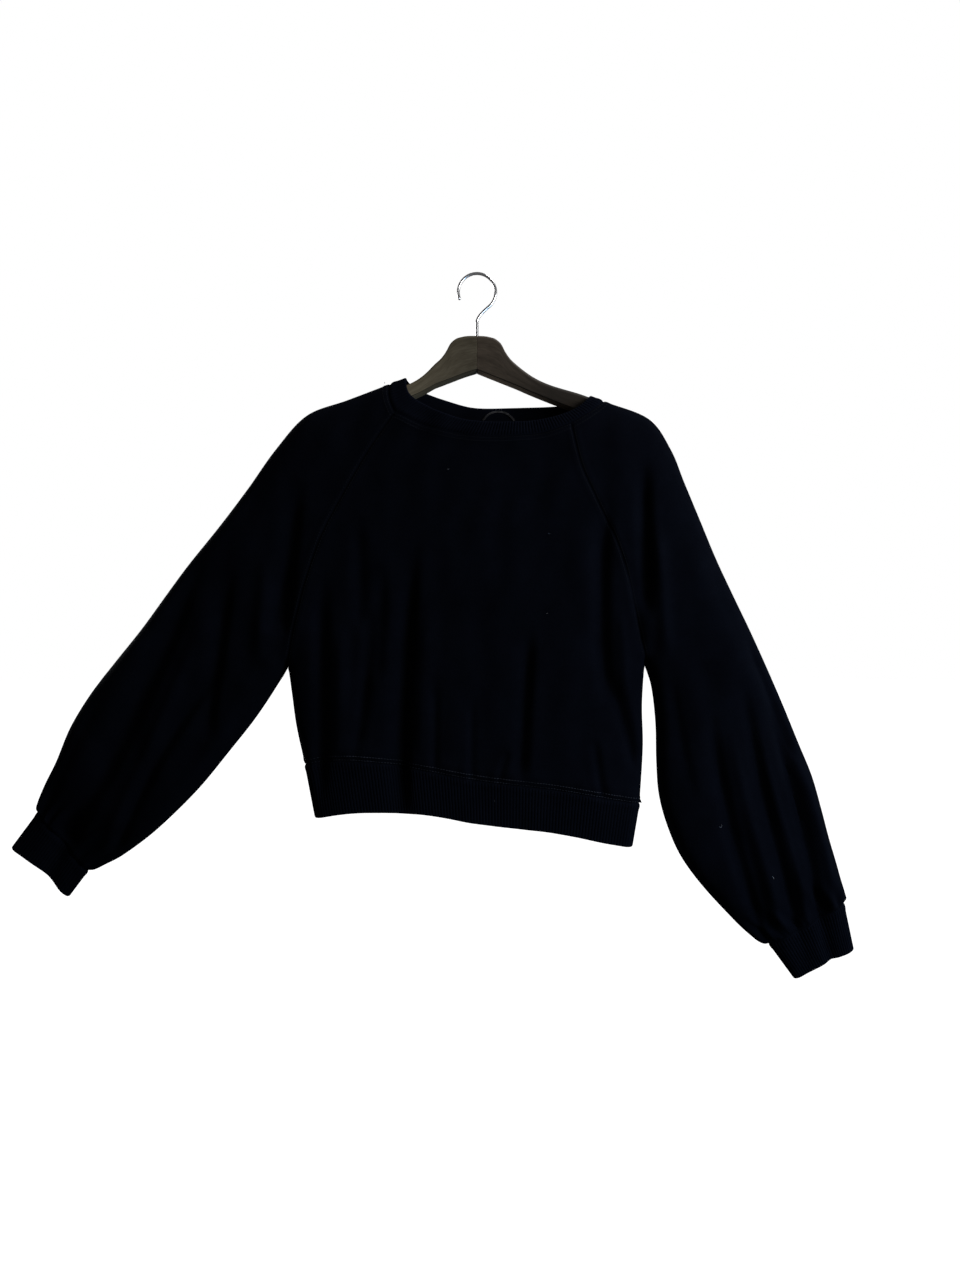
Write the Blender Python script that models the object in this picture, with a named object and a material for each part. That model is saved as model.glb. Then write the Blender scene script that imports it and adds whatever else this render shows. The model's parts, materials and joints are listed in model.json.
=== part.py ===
"""A cropped crew-neck sweatshirt with full raglan sleeves, hung on a wooden clothes hanger.

The garment hangs in the XZ plane and faces -Y, with +Z up. The origin is the inner crown of the hanger's
hook, where a rail holds it. Lengths below are in millimetres, as (x, z) seen from the front, and the meshes
are in metres. "Left" and "right" are as seen from the front.

The cloth is two layers that turn into each other at the garment's outline. One rule gives their depth: it
grows with the distance from the nearest outline, fast at first and then slowly, so that pieces that share a
seam share its depth too. Folds are soft ridges and troughs laid over that form.
"""

import math

import bmesh
import bpy
import numpy as np

# Cloth and seams
WALL = 2.0            # body and sleeve fabric
RIB_WALL = 2.4        # ribbed bands, without the ribs
RIB_HEIGHT = 0.8
RIB_PITCH = 4.8
GAP = 0.36            # between two pieces at a seam
EDGE_CURVES = ((11.0, 14.0), (16.0, 60.0))   # (depth it adds, distance from the outline that it takes)
CUFF_FLATNESS = 0.52  # a cuff's depth as a share of the sleeve's
CUFF_FADE = 75.0      # length over which a sleeve flattens into its cuff

# The hanger
ARM_FALL = math.radians(21.2)
TILT = math.radians(-0.4)
SHOULDER_PEAK = -93.8     # where the two shoulder lines of the cloth would meet
HANGER_THICKNESS = 20.0
ARM_HEIGHT = 20.4
TOP_RADIUS = 8.0
BOTTOM_RADIUS = 2.5
HANGER_CLEARANCE = 0.5    # from the neck band's inner face down to the wood
WIRE = 3.6
HOOK_INSIDE = 42.0        # inner width of the hook's crook
SHANK_BEND = -58.0        # where the wire leaves its straight shank
SHANK_GAP = 0.3           # from the wood up to the wire
CROOK_START, CROOK_END = -48.0, 205.0   # degrees round the crook, from its low right side over the top
BEND_PULL = 22.0          # how strongly the shank's bend holds its two directions
# The hanger's head, half of it. Columns: x, top z, bottom z.
HEAD = (
    (0.15, -77.5, -117.0),
    (14, -78.7, -122.3),
    (24, -82.0, -126.1),
    (30, -87.5, -128.4),
    (34, -95.0, -129.9),
    (40, -103.5, -132.3),
    (48, -111.0, -135.4),
)
# The arm beyond it. Columns: x, how far its top and bottom draw in, share of the thickness.
ARM = ((60, 0, 1.0), (135, 0, 1.0), (198, 0, 1.0), (206, 1.5, 0.94), (211, 4.5, 0.78), (213, 7.5, 0.5))

# Sleeve sections, each from its outer edge to its raglan seam, and below the armpit to its inner edge.
# A top z of None lies on the hanger's shoulder line. Columns: top x, top z, low x, low z.
LEFT_OPEN = (
    (-105, None, -98, -173),
    (-157, None, -130, -219),
    (-207, None, -158, -267),
    (-246, -212, -185, -318),
    (-280, -261, -204, -371),
    (-314, -306, -218, -425),
    (-350, -353, -230, -475),
)
LEFT_CLOSED = (
    (-376, -387, -246, -502),
    (-408, -430, -272, -541),
    (-440, -470, -304, -581),
    (-470, -510, -339, -620),
    (-495, -551, -371, -655),
    (-514, -591, -403, -685),
    (-528, -619, -433, -705),
    (-536, -639, -459, -718),
    (-535, -652, -475, -725),
)
LEFT_CUFF_END = (-567, -698, -503, -759)
RIGHT_OPEN = (
    (154, None, 112, -186),
    (209, None, 124, -235),
    (236, -214, 143, -277),
    (251, -254, 165, -322),
    (270, -301, 181, -370),
    (291, -347, 192, -420),
    (312, -392, 204, -472),
)
RIGHT_CLOSED = (
    (330, -432, 213, -503),
    (350, -476, 218, -547),
    (370, -522, 219, -592),
    (390, -568, 222, -633),
    (408, -609, 232, -671),
    (420, -649, 251, -709),
    (430, -687, 279, -747),
    (440, -725, 314, -786),
    (446, -750, 340, -806),
    (446, -765, 357, -814),
)
RIGHT_CUFF_END = (459, -822, 390, -858)

# The body's side seams from the armpits to the hem seam, then the end of the hem band.
# Columns: left x, left z, right x, right z.
SIDES = (
    (-230, -475, 204, -472),
    (-225, -512, 201, -524),
    (-219, -551, 202, -575),
    (-210, -589, 199, -637),
)
HEM_END = (-197, -661, 189, -696)
# Rise of the front's hem seam and hem edge above a straight line. Columns: share of the width, seam, edge.
FRONT_HEM_RISE = (
    (0.00, 0, 0),
    (0.10, 11, 11),
    (0.22, 16, 17),
    (0.35, 13, 19),
    (0.50, 8, 14),
    (0.75, 7, 11),
    (1.00, 0, 0),
)
BACK_HEM_RISE = ((0.0, 0, 0), (0.25, 7, 8), (0.5, 9, 11), (0.75, 7, 8), (1.0, 0, 0))

NECK_BOW = 4.0     # how far the neck seam curves out across the top of each sleeve
# The neck: seam of the band between the raglan seams, then the band's top edge between the shoulders.
FRONT_NECK = ((-98, -173), (-62, -189), (-12, -200), (40, -201), (84, -196), (112, -186))
BACK_NECK = ((-93, -156), (-60, -166), (-10, -175), (42, -176), (95, -175), (133, -170))
SHOULDER_EDGE_X = (-86, 138)
FRONT_NECK_EDGE = ((-82, -148), (-56, -167), (-18, -181), (27, -185), (69, -183), (100, -176), (124, -164))
BACK_NECK_EDGE = ((-77, -133), (-60, -140), (-35, -148), (-2, -156), (41, -156), (92, -155), (122, -153))

# Folds. Columns: x and z at one end, x and z at the other, sideways bow, half width, height.
FRONT_FOLDS = (
    # body
    (-172, -350, -188, -645, 0, 14, -8),
    (-150, -420, -152, -610, 0, 16, 5),
    (-106, -380, -128, -575, 4, 14, -7),
    (-68, -330, -85, -650, -5, 15, -13),
    (-34, -420, -42, -610, 0, 20, 5),
    (68, -430, 54, -630, 0, 15, -7),
    (105, -400, 112, -640, 0, 20, 5),
    (146, -285, 180, -600, -10, 16, -9),
    (188, -330, 198, -470, 0, 12, -5),
    (-62, -215, -20, -335, 8, 20, -5),
    (98, -215, 58, -335, -8, 20, -5),
    # left sleeve
    (-214, -345, -246, -430, 0, 13, -7),
    (-310, -335, -376, -505, 6, 16, -8),
    (-366, -485, -492, -695, 8, 17, -9),
    (-305, -400, -418, -665, 8, 16, 7),
    (-290, -425, -405, -690, 14, 14, -8),
    (-262, -495, -350, -630, 4, 14, 5),
    # right sleeve
    (196, -255, 210, -420, 0, 13, -7),
    (235, -290, 264, -480, 0, 16, 6),
    (272, -500, 346, -770, -6, 13, -10),
    (298, -515, 364, -765, -4, 13, 5),
    (314, -510, 392, -780, 0, 14, -10),
    (344, -500, 410, -755, 6, 13, -8),
    (312, -430, 352, -525, 0, 13, -7),
    (388, -610, 430, -765, 6, 13, 5),
    (238, -550, 268, -715, -6, 14, -8),
)
BACK_FOLDS = (
    # body
    (-150, -300, -170, -640, 6, 16, -9),
    (-95, -260, -100, -610, 0, 18, 6),
    (-40, -250, -52, -645, 6, 14, -10),
    (20, -240, 24, -610, 0, 22, 6),
    (80, -260, 76, -655, -4, 14, -9),
    (150, -290, 166, -640, -6, 15, -9),
    # left sleeve
    (-220, -330, -252, -435, 0, 12, -8),
    (-320, -345, -445, -620, 8, 15, -10),
    (-296, -400, -405, -660, 10, 13, 8),
    (-268, -465, -395, -690, 8, 12, -10),
    (-425, -510, -512, -665, 4, 13, -8),
    # right sleeve
    (206, -265, 222, -435, 0, 14, -8),
    (258, -410, 332, -765, -8, 14, -11),
    (288, -495, 374, -785, -2, 12, 8),
    (326, -450, 406, -765, 4, 13, -10),
    (244, -535, 294, -740, -6, 13, -8),
)

# Gathers where a sleeve meets its cuff
GATHERS = 12
GATHER_HEIGHT = 3.4
GATHER_PEAK = 20.0     # distance from the cuff's seam where they stand highest
GATHER_SPREAD = 34.0

# The plain tape inside the back neck: an arch
LOOP_MIDDLE = (27.0, -160.0)
LOOP_HALF_SPAN = 21.0
LOOP_DROP = 13.0
LOOP_WIDTH = 5.0
LOOP_THICKNESS = 0.9

# How finely each piece is divided
INNER_STEP = 5.2       # between points on a band's plain inside
SIDE_ROWS = 6
RAGLAN_ROWS = 11
LOWER_SLEEVE_ROWS = 6
GATHERED_ROWS = 5
GATHERED_LENGTH = 105.0
OPEN_COLUMNS = 14      # across one layer of a sleeve above the armpit
CLOSED_COLUMNS = 24    # and below it, four to a gather round the whole sleeve
EDGE_STEPS = (0.0, 1.0, 4.0, 10.0, 19.0, 30.0)   # columns next to a side seam, from the seam
FRONT_COLUMNS = 28
BACK_COLUMNS = 14
OUTLINE_STEPS = 10     # pieces of outline for each section

FRONT = -1
BACK = 1


# ---------------------------------------------------------------------------------------------- curves

def smooth(value):
    """Zero below 0, one above 1, with a soft start and end between them."""
    value = np.clip(value, 0.0, 1.0)
    return value * value * (3.0 - 2.0 * value)


def curve(points, at, knots=None):
    """The smooth curve through the points, read at the given places; knots default to 0, 1, 2 and on."""
    points = np.asarray(points, float)
    knots = np.arange(len(points), dtype=float) if knots is None else np.asarray(knots, float)
    at = np.asarray(at, float)
    slopes = np.gradient(points, knots, axis=0)
    first = np.clip(np.searchsorted(knots, at, side="right") - 1, 0, len(knots) - 2)
    span = knots[first + 1] - knots[first]
    t = ((at - knots[first]) / span)[:, None]
    span = span[:, None]
    return ((1 + 2 * t) * (1 - t) ** 2 * points[first] + t * (1 - t) ** 2 * span * slopes[first]
            + t * t * (3 - 2 * t) * points[first + 1] - t * t * (1 - t) * span * slopes[first + 1])


def lengths(points):
    """Distance along a line of points, from its first."""
    steps = np.linalg.norm(np.diff(points, axis=0), axis=1)
    return np.concatenate(([0.0], np.cumsum(steps)))


def beside(line, amount):
    """The line moved sideways, to its left for a positive amount."""
    along = np.gradient(line, axis=0)
    along = along / np.linalg.norm(along, axis=1, keepdims=True)
    return line + amount * np.stack([-along[:, 1], along[:, 0]], axis=1)


def shoulder_z(x):
    """Height of the cloth's shoulder line, which falls both ways from the peak."""
    fall = np.where(np.asarray(x) < 0, ARM_FALL + TILT, ARM_FALL - TILT)
    return SHOULDER_PEAK - np.abs(x) * np.tan(fall)


def filled(rows):
    """A table of sections with each None put on the shoulder line."""
    return np.array([(tx, shoulder_z(tx) if tz is None else tz, lx, lz) for tx, tz, lx, lz in rows], float)


# --------------------------------------------------------------------------------------------- outline

LEFT_SLEEVE = filled(LEFT_OPEN + LEFT_CLOSED)
RIGHT_SLEEVE = filled(RIGHT_OPEN + RIGHT_CLOSED)
ARMPIT_ROW = len(LEFT_OPEN) - 1
LEFT_CUFF = np.array((LEFT_CLOSED[-1], LEFT_CUFF_END), float)
RIGHT_CUFF = np.array((RIGHT_CLOSED[-1], RIGHT_CUFF_END), float)
BODY_SIDES = np.array(SIDES, float)
HEM_SIDES = np.array((SIDES[-1], HEM_END), float)


def sections(table, start, stop, count):
    """Count + 1 sections of a table, evenly spaced along its middle line between two of its rows."""
    fine = np.linspace(start, stop, 40 * (stop - start) + 1)
    rows = curve(table, fine)
    along = lengths((rows[:, :2] + rows[:, 2:]) / 2)
    return curve(table, np.interp(np.linspace(0, along[-1], count + 1), along, fine))


def dense(table, columns, start=0):
    """One side of a table of sections as a fine line, from the start row on."""
    last = len(table) - 1
    return curve(table, np.linspace(start, last, OUTLINE_STEPS * (last - start) + 1))[:, columns]


def past(points):
    """The end of a line carried straight on, so that an open end is no outline."""
    return np.vstack([points, points[-1] + (points[-1] - points[-2]) * 2.0])


TOP, LOW = slice(0, 2), slice(2, 4)
LEFT_TOP = past(np.vstack([dense(LEFT_SLEEVE, TOP), LEFT_CUFF[1, TOP]]))
RIGHT_TOP = past(np.vstack([dense(RIGHT_SLEEVE, TOP), RIGHT_CUFF[1, TOP]]))
LEFT_LOW = past(np.vstack([dense(LEFT_SLEEVE, LOW, ARMPIT_ROW), LEFT_CUFF[1, LOW]]))
RIGHT_LOW = past(np.vstack([dense(RIGHT_SLEEVE, LOW, ARMPIT_ROW), RIGHT_CUFF[1, LOW]]))
LEFT_SIDE = past(np.vstack([dense(BODY_SIDES, TOP), HEM_SIDES[1, TOP]]))
RIGHT_SIDE = past(np.vstack([dense(BODY_SIDES, LOW), HEM_SIDES[1, LOW]]))
PEAK = np.array([[0.0, SHOULDER_PEAK]])
# Each line runs so that the outside is on its left.
OUTLINE = (
    np.vstack([LEFT_TOP[::-1], PEAK, RIGHT_TOP]),
    np.vstack([LEFT_SIDE[::-1], LEFT_LOW[1:]]),
    np.vstack([RIGHT_LOW[::-1], RIGHT_SIDE[1:]]),
)
STARTS = np.vstack([line[:-1] for line in OUTLINE])
STEPS = np.vstack([np.diff(line, axis=0) for line in OUTLINE])
STEP_SQUARES = np.sum(STEPS ** 2, axis=1)
STEP_NORMALS = np.stack([-STEPS[:, 1], STEPS[:, 0]], axis=1) / np.sqrt(STEP_SQUARES)[:, None]


def nearest(plan, edge):
    """Distance from each point to the outline, and the outward direction. An edge point lies on it."""
    offset = plan[:, None, :] - STARTS[None, :, :]
    share = np.clip(np.sum(offset * STEPS, axis=2) / STEP_SQUARES, 0.0, 1.0)
    to_line = share[:, :, None] * STEPS - offset
    distances = np.linalg.norm(to_line, axis=2)
    best = np.argmin(distances, axis=1)
    every = np.arange(len(plan))
    distance = distances[every, best]
    direction = to_line[every, best] / np.maximum(distance, 1e-9)[:, None]
    direction[edge] = STEP_NORMALS[best][edge]
    distance[edge] = 0.0
    return distance, direction


# --------------------------------------------------------------------------------------- cloth surface

def fold_height(plan, side):
    """Sum of the folds of one layer. A fold is a bell across its line and fades towards both ends."""
    total = np.zeros(len(plan))
    for x0, z0, x1, z1, bow, width, height in (FRONT_FOLDS if side == FRONT else BACK_FOLDS):
        start = np.array((x0, z0), float)
        line = np.array((x1, z1), float) - start
        length = np.linalg.norm(line)
        line = line / length
        share = (plan - start) @ line / length
        across = (plan - start) @ np.array((-line[1], line[0]))
        inside = np.clip(share, 0.0, 1.0)
        across = across - bow * 4.0 * inside * (1.0 - inside)
        fade = smooth(share / 0.3) * smooth((1.0 - share) / 0.3)
        total += height * fade * np.exp(-(across / width) ** 2)
    return total


def flatness(plan):
    """Share of the full depth: one on body and sleeves, less on the cuffs."""
    share = np.ones(len(plan))
    for cuff in (LEFT_CUFF, RIGHT_CUFF):
        seam, end = (cuff[:, TOP] + cuff[:, LOW]) / 2
        direction = (end - seam) / np.linalg.norm(end - seam)
        along = (plan - seam) @ direction
        share -= (1.0 - CUFF_FLATNESS) * smooth((along + CUFF_FADE) / CUFF_FADE)
    return share


def surface(plan, side, edge=False, lift=0.0, relief=0.0):
    """Outer points of the cloth over the plan points, and the direction out of the cloth there."""
    shape = plan.shape[:-1]
    plan = plan.reshape(-1, 2)
    side = np.broadcast_to(side, shape).reshape(-1)
    relief = np.broadcast_to(relief, shape).reshape(-1)
    distance, outward = nearest(plan, np.broadcast_to(edge, shape).reshape(-1))
    depth = np.zeros(len(plan))
    slope = np.zeros(len(plan))
    scale = flatness(plan)
    for height, reach in EDGE_CURVES:
        share = np.clip(distance / reach, 1e-6, 1.0)
        root = np.sqrt(share * (2.0 - share))
        depth += scale * height * root
        slope += scale * height / reach * (1.0 - share) / root
    base = np.stack([slope * outward[:, 0], side.astype(float), slope * outward[:, 1]], axis=1)
    base /= np.linalg.norm(base, axis=1, keepdims=True)
    step = 0.5
    fade = smooth(distance / 14.0)
    fold = np.zeros(len(plan))
    tilt = np.zeros((len(plan), 3))
    for layer in (FRONT, BACK):
        chosen = side == layer
        here = plan[chosen]
        fold[chosen] = fold_height(here, layer)
        for axis, move in ((0, (step, 0.0)), (2, (0.0, step))):
            change = fold_height(here + move, layer) - fold_height(here - np.array(move), layer)
            tilt[chosen, axis] = change / (2 * step)
    normal = base - tilt * fade[:, None]
    normal /= np.linalg.norm(normal, axis=1, keepdims=True)
    points = np.stack([plan[:, 0], side * (depth + lift), plan[:, 1]], axis=1)
    points += base * (fold * fade + relief)[:, None]
    return points.reshape(*shape, 3), normal.reshape(*shape, 3)


# ---------------------------------------------------------------------------------------------- meshes

def bridge(first, second):
    """Faces between two rows of vertex numbers, as quads where the rows match and triangles elsewhere."""
    if len(first) == len(second):
        return [(first[k], first[k + 1], second[k + 1], second[k]) for k in range(len(first) - 1)]
    faces = []
    i = j = 0
    last_i, last_j = len(first) - 1, len(second) - 1
    while i < last_i or j < last_j:
        if j == last_j or (i < last_i and (i + 1) * last_j <= (j + 1) * last_i):
            faces.append((first[i], first[i + 1], second[j]))
            i += 1
        else:
            faces.append((first[i], second[j + 1], second[j]))
            j += 1
    return faces


def numbered(rows, closed_from, vertices):
    """Adds rows of points to the vertices. A closed row ends on its own first vertex."""
    numbers = []
    for index, row in enumerate(rows):
        closed = index >= closed_from
        points = row[:-1] if closed else row
        start = len(vertices)
        vertices.extend(points.tolist())
        line = list(range(start, start + len(points)))
        numbers.append(line + line[:1] if closed else line)
    return numbers


def cloth(name, outer_rows, inner_rows, closed_from, material):
    """A wall between two sets of rows, with a rim along each open edge."""
    vertices = []
    outer = numbered(outer_rows, closed_from, vertices)
    inner = numbered(inner_rows, closed_from, vertices)
    faces = []
    for rows in (outer, inner):
        for first, second in zip(rows, rows[1:]):
            faces += bridge(first, second)
    faces += bridge(outer[0], inner[0])
    faces += bridge(outer[-1], inner[-1])
    seam_rows = min(closed_from, len(outer) - 1) + 1
    if closed_from > 0:
        for end in (0, -1):
            faces += bridge([row[end] for row in outer[:seam_rows]], [row[end] for row in inner[:seam_rows]])
    return make_object(name, vertices, faces, material)


def make_object(name, vertices, faces, material):
    """A closed mesh object from points in millimetres, its faces turned outwards and shaded smooth."""
    mesh = bpy.data.meshes.new(name)
    mesh.from_pydata((np.array(vertices) / 1000.0).tolist(), [], faces)
    shape = bmesh.new()
    shape.from_mesh(mesh)
    bmesh.ops.recalc_face_normals(shape, faces=shape.faces)
    shape.to_mesh(mesh)
    shape.free()
    mesh.shade_smooth()
    mesh.set_sharp_from_angle(angle=math.radians(50))
    mesh.materials.append(material)
    item = bpy.data.objects.new(name, mesh)
    PARTS.objects.link(item)
    return item


def finish(name, colour, roughness, metallic=0.0):
    """A plain Principled material."""
    material = bpy.data.materials.new(name)
    material.use_nodes = True
    shader = material.node_tree.nodes["Principled BSDF"]
    shader.inputs["Base Color"].default_value = (*colour, 1.0)
    shader.inputs["Roughness"].default_value = roughness
    shader.inputs["Metallic"].default_value = metallic
    return material


# -------------------------------------------------------------------------------------- body and sleeves

def toward(points, goals, amount):
    """The points moved by an amount towards their goals."""
    way = goals - points
    return points + amount * way / np.linalg.norm(way, axis=-1, keepdims=True)


def raglan(left, side):
    """A raglan seam from the armpit up to the neck. The back one ends higher and nearer the shoulder."""
    table = LEFT_SLEEVE if left else RIGHT_SLEEVE
    line = sections(table, 0, ARMPIT_ROW, RAGLAN_ROWS)[::-1, LOW]
    if side == BACK:
        end = 0 if left else -1
        climb = np.linspace(0.0, 1.0, len(line))[:, None] ** 2
        line = line + climb * (np.array(BACK_NECK[end]) - np.array(FRONT_NECK[end]))
    return line


def rise(table, column, share):
    """Height of the hem's line above a straight one, at each share of the width."""
    table = np.array(table, float)
    return curve(table[:, column:column + 1], share, table[:, 0])[:, 0]


def hem_line(ends, column, side, share):
    """The hem seam (column 1) or the hem's edge (column 2) between its two ends."""
    line = ends[0] + (ends[1] - ends[0]) * share[:, None]
    line[:, 1] += rise(FRONT_HEM_RISE if side == FRONT else BACK_HEM_RISE, column, share)
    return line


def neck_line(side, share):
    """The neck seam between the raglan seams, at each share of its length."""
    points = np.array(FRONT_NECK if side == FRONT else BACK_NECK, float)
    along = lengths(points)
    return curve(points, share * along[-1], along)


def neck_bow(left, share):
    """How the neck seam curves away from the neck, from the shoulder line to the raglan seam."""
    bow = (-NECK_BOW if left else NECK_BOW) * 4.0 * share * (1.0 - share)
    return np.stack([bow, np.zeros(len(share))], axis=1)


def body_panel(name, side, columns, material):
    """Front or back: rows from the hem seam to the neck seam, columns from the left edge to the right."""
    sides = sections(BODY_SIDES, 0, len(BODY_SIDES) - 1, SIDE_ROWS)[::-1]
    left = np.vstack([sides[:, TOP], beside(raglan(True, side), -GAP / 2)[1:]])
    right = np.vstack([sides[:, LOW], beside(raglan(False, side), GAP / 2)[1:]])
    for line in (left, right):
        line[SIDE_ROWS] = toward(line[SIDE_ROWS], line[SIDE_ROWS - 1], GAP / 2)
    width = np.linalg.norm(right[SIDE_ROWS] - left[SIDE_ROWS])
    near = np.array(EDGE_STEPS) / width
    spread = np.concatenate([near[:-1], np.linspace(near[-1], 1 - near[-1], columns + 1), 1 - near[-2::-1]])
    even = np.linspace(0.0, 1.0, len(spread))
    rows = []
    for row in range(len(left)):
        up = max(0.0, (row - SIDE_ROWS) / RAGLAN_ROWS)
        share = spread + (even - spread) * smooth(up * 1.5)
        line = left[row] + (right[row] - left[row]) * share[:, None]
        hem = hem_line((left[0], right[0]), 1, side, share)
        line += (hem - left[0] - (right[0] - left[0]) * share[:, None]) * smooth(1.0 - row / (SIDE_ROWS + 2))
        neck = neck_line(side, share)
        line += (neck - neck[0] - (neck[-1] - neck[0]) * share[:, None]) * up ** 2
        rows.append(line)
    plan = np.array(rows)
    plan[0] = toward(plan[0], plan[1], GAP / 2)
    plan[-1] = toward(plan[-1], plan[-2], GAP / 2)
    edge = np.zeros(plan.shape[:2], bool)
    edge[:SIDE_ROWS + 1, (0, -1)] = True
    outer, normal = surface(plan, side, edge, lift=GAP / 2)
    return cloth(name, outer, outer - WALL * normal, len(rows), material)


def across(count, closed):
    """Shares of a section's width from its outer edge inwards, closer together where the cloth turns."""
    t = np.linspace(0.0, 1.0, count + 1)
    return (1 - closed) * (1 - np.cos(math.pi * t / 2)) + closed * (1 - np.cos(math.pi * t)) / 2


def gather_relief(distance, share):
    """Waves round a sleeve's end, uneven, highest a little way above the cuff's seam."""
    swell = math.exp(-((distance - GATHER_PEAK) / GATHER_SPREAD) ** 2) * smooth(distance / 12.0)
    uneven = 1.0 + 0.35 * np.sin(2 * math.pi * 3 * share + 0.8)
    wave = np.cos(2 * math.pi * GATHERS * share + 1.2 * np.sin(2 * math.pi * 2 * share))
    return GATHER_HEIGHT * swell * uneven * wave


def sleeve_sections(left):
    """A sleeve's sections from the neck to the cuff, and how far each closed one is from the cuff."""
    table = LEFT_SLEEVE if left else RIGHT_SLEEVE
    fine = sections(table, ARMPIT_ROW, len(table) - 1, 200)
    along = lengths((fine[:, TOP] + fine[:, LOW]) / 2)
    gathered = along[-1] - GATHERED_LENGTH
    places = np.concatenate([np.linspace(0, gathered, LOWER_SLEEVE_ROWS + 1)[:-1],
                             np.linspace(gathered, along[-1], GATHERED_ROWS + 1)])
    lower = np.stack([np.interp(places, along, column) for column in fine.T], axis=1)
    upper = sections(table, 0, ARMPIT_ROW, RAGLAN_ROWS)
    return np.vstack([upper[:-1], lower]), along[-1] - places


def sleeve(name, left, material):
    """Rows from the neck to the cuff; each runs from the front edge over the top fold to the back edge."""
    rows, to_cuff = sleeve_sections(left)
    shift = GAP / 2 if left else -GAP / 2
    edges = {side: beside(raglan(left, side), shift)[::-1] for side in (FRONT, BACK)}
    plans = []
    counts = []
    for row, section in enumerate(rows):
        count = OPEN_COLUMNS if row < RAGLAN_ROWS else CLOSED_COLUMNS
        share = across(count, smooth((row - RAGLAN_ROWS + 4) / 5))
        halves = []
        for side in (FRONT, BACK):
            low = edges[side][row] if row < RAGLAN_ROWS else section[LOW]
            if row == RAGLAN_ROWS:
                low = toward(low, rows[row + 1, LOW], GAP)
            line = section[TOP] + (low - section[TOP]) * share[:, None]
            halves.append(line + neck_bow(left, share) * max(0.0, 1.0 - row / 4) ** 2)
        plans.append(np.vstack([halves[0][::-1], halves[1][1:]]))
        counts.append(count)
    plans[0] = toward(plans[0], plans[1], GAP / 2)
    plans[-1] = toward(plans[-1], plans[-2], GAP / 2)
    outer_rows = []
    inner_rows = []
    for row, (plan, count) in enumerate(zip(plans, counts)):
        sides = np.array([FRONT] * count + [BACK] * (count + 1))
        ring = np.linspace(0.0, 1.0, 2 * count + 1)
        relief = gather_relief(to_cuff[row - RAGLAN_ROWS], ring) if row >= RAGLAN_ROWS else 0.0
        edge = np.zeros(len(plan), bool)
        edge[count] = True
        edge[[0, -1]] = row >= RAGLAN_ROWS
        outer, normal = surface(plan, sides, edge, relief=relief)
        outer_rows.append(outer)
        inner_rows.append(outer - WALL * normal)
    return cloth(name, outer_rows, inner_rows, RAGLAN_ROWS, material)


# ---------------------------------------------------------------------------------------- ribbed bands

def ring_plan(lines, places):
    """Plan points round a band, their layer, and which lie on the outline, at the two turns."""
    share = (1.0 - np.cos(2 * math.pi * places)) / 2
    front = places < 0.5
    plan = np.where(front[:, None], lines[0](share), lines[1](share))
    return plan, np.where(front, FRONT, BACK), (share < 1e-7) | (share > 1.0 - 1e-7)


def even_places(lines, count):
    """Places round a band that lie at even distances on the cloth."""
    fine = np.linspace(0.0, 1.0, 801)
    points, _ = surface(*ring_plan(lines, fine))
    along = lengths(points)
    return np.interp(np.linspace(0.0, along[-1], count + 1), along, fine), along[-1]


def band(name, rows, material):
    """A ribbed ring through rows of (front line, back line), from its seam to its free edge."""
    _, around = even_places(rows[0], 8)
    ribs = round(around / RIB_PITCH)
    outer_places, _ = even_places(rows[0], 2 * ribs)
    inner_places, _ = even_places(rows[0], round(around / INNER_STEP))
    raised = np.where(np.arange(2 * ribs + 1) % 2 == 1, RIB_HEIGHT / 2, -RIB_HEIGHT / 2)
    plans = [[ring_plan(lines, places) for lines in rows] for places in (outer_places, inner_places)]
    for ring in plans:
        ring[0] = (toward(ring[0][0], ring[1][0], GAP / 2), *ring[0][1:])
    outer = [surface(*ring, relief=raised)[0] for ring in plans[0]]
    inner = []
    for ring in plans[1]:
        points, normal = surface(*ring)
        inner.append(points - RIB_WALL * normal)
    return cloth(name, outer, inner, 0, material)


def straight(ends):
    """A line function between two plan points, the same on front and back."""
    return (lambda share: ends[0] + (ends[1] - ends[0]) * share[:, None],) * 2


def cuff(name, ends, material):
    return band(name, [straight((row[TOP], row[LOW])) for row in ends], material)


def hem_band(name, material):
    rows = []
    for row, column in ((0, 1), (1, 2)):
        ends = (HEM_SIDES[row, TOP], HEM_SIDES[row, LOW])
        rows.append([lambda share, side=side, ends=ends, column=column: hem_line(ends, column, side, share)
                     for side in (FRONT, BACK)])
    return band(name, rows, material)


def neck_seam(side):
    """The whole neck seam of one layer, from shoulder line to shoulder line."""
    share = np.linspace(0.0, 1.0, 21)
    middle = neck_line(side, np.linspace(0.0, 1.0, 81))
    parts = []
    for left, end in ((True, middle[0]), (False, middle[-1])):
        top = (LEFT_SLEEVE if left else RIGHT_SLEEVE)[0, TOP]
        parts.append(top + (end - top) * share[:, None] + neck_bow(left, share))
    return np.vstack([parts[0][:-1], middle, parts[1][::-1][1:]])


def neck_edge(side):
    """The neck band's free edge of one layer, from shoulder line to shoulder line."""
    points = FRONT_NECK_EDGE if side == FRONT else BACK_NECK_EDGE
    first, last = [(x, float(shoulder_z(x))) for x in SHOULDER_EDGE_X]
    points = np.array((first, *points, last), float)
    along = lengths(points)
    return curve(points, np.linspace(0.0, along[-1], 121), along)


def along_line(points):
    """A line function that reads a line of points by share of its length."""
    along = lengths(points)
    return lambda share: np.stack([np.interp(share * along[-1], along, column) for column in points.T], axis=1)


def neck_band(name, material):
    seam = [along_line(neck_seam(side)) for side in (FRONT, BACK)]
    edge = [along_line(neck_edge(side)) for side in (FRONT, BACK)]
    return band(name, [seam, edge], material)


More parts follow.
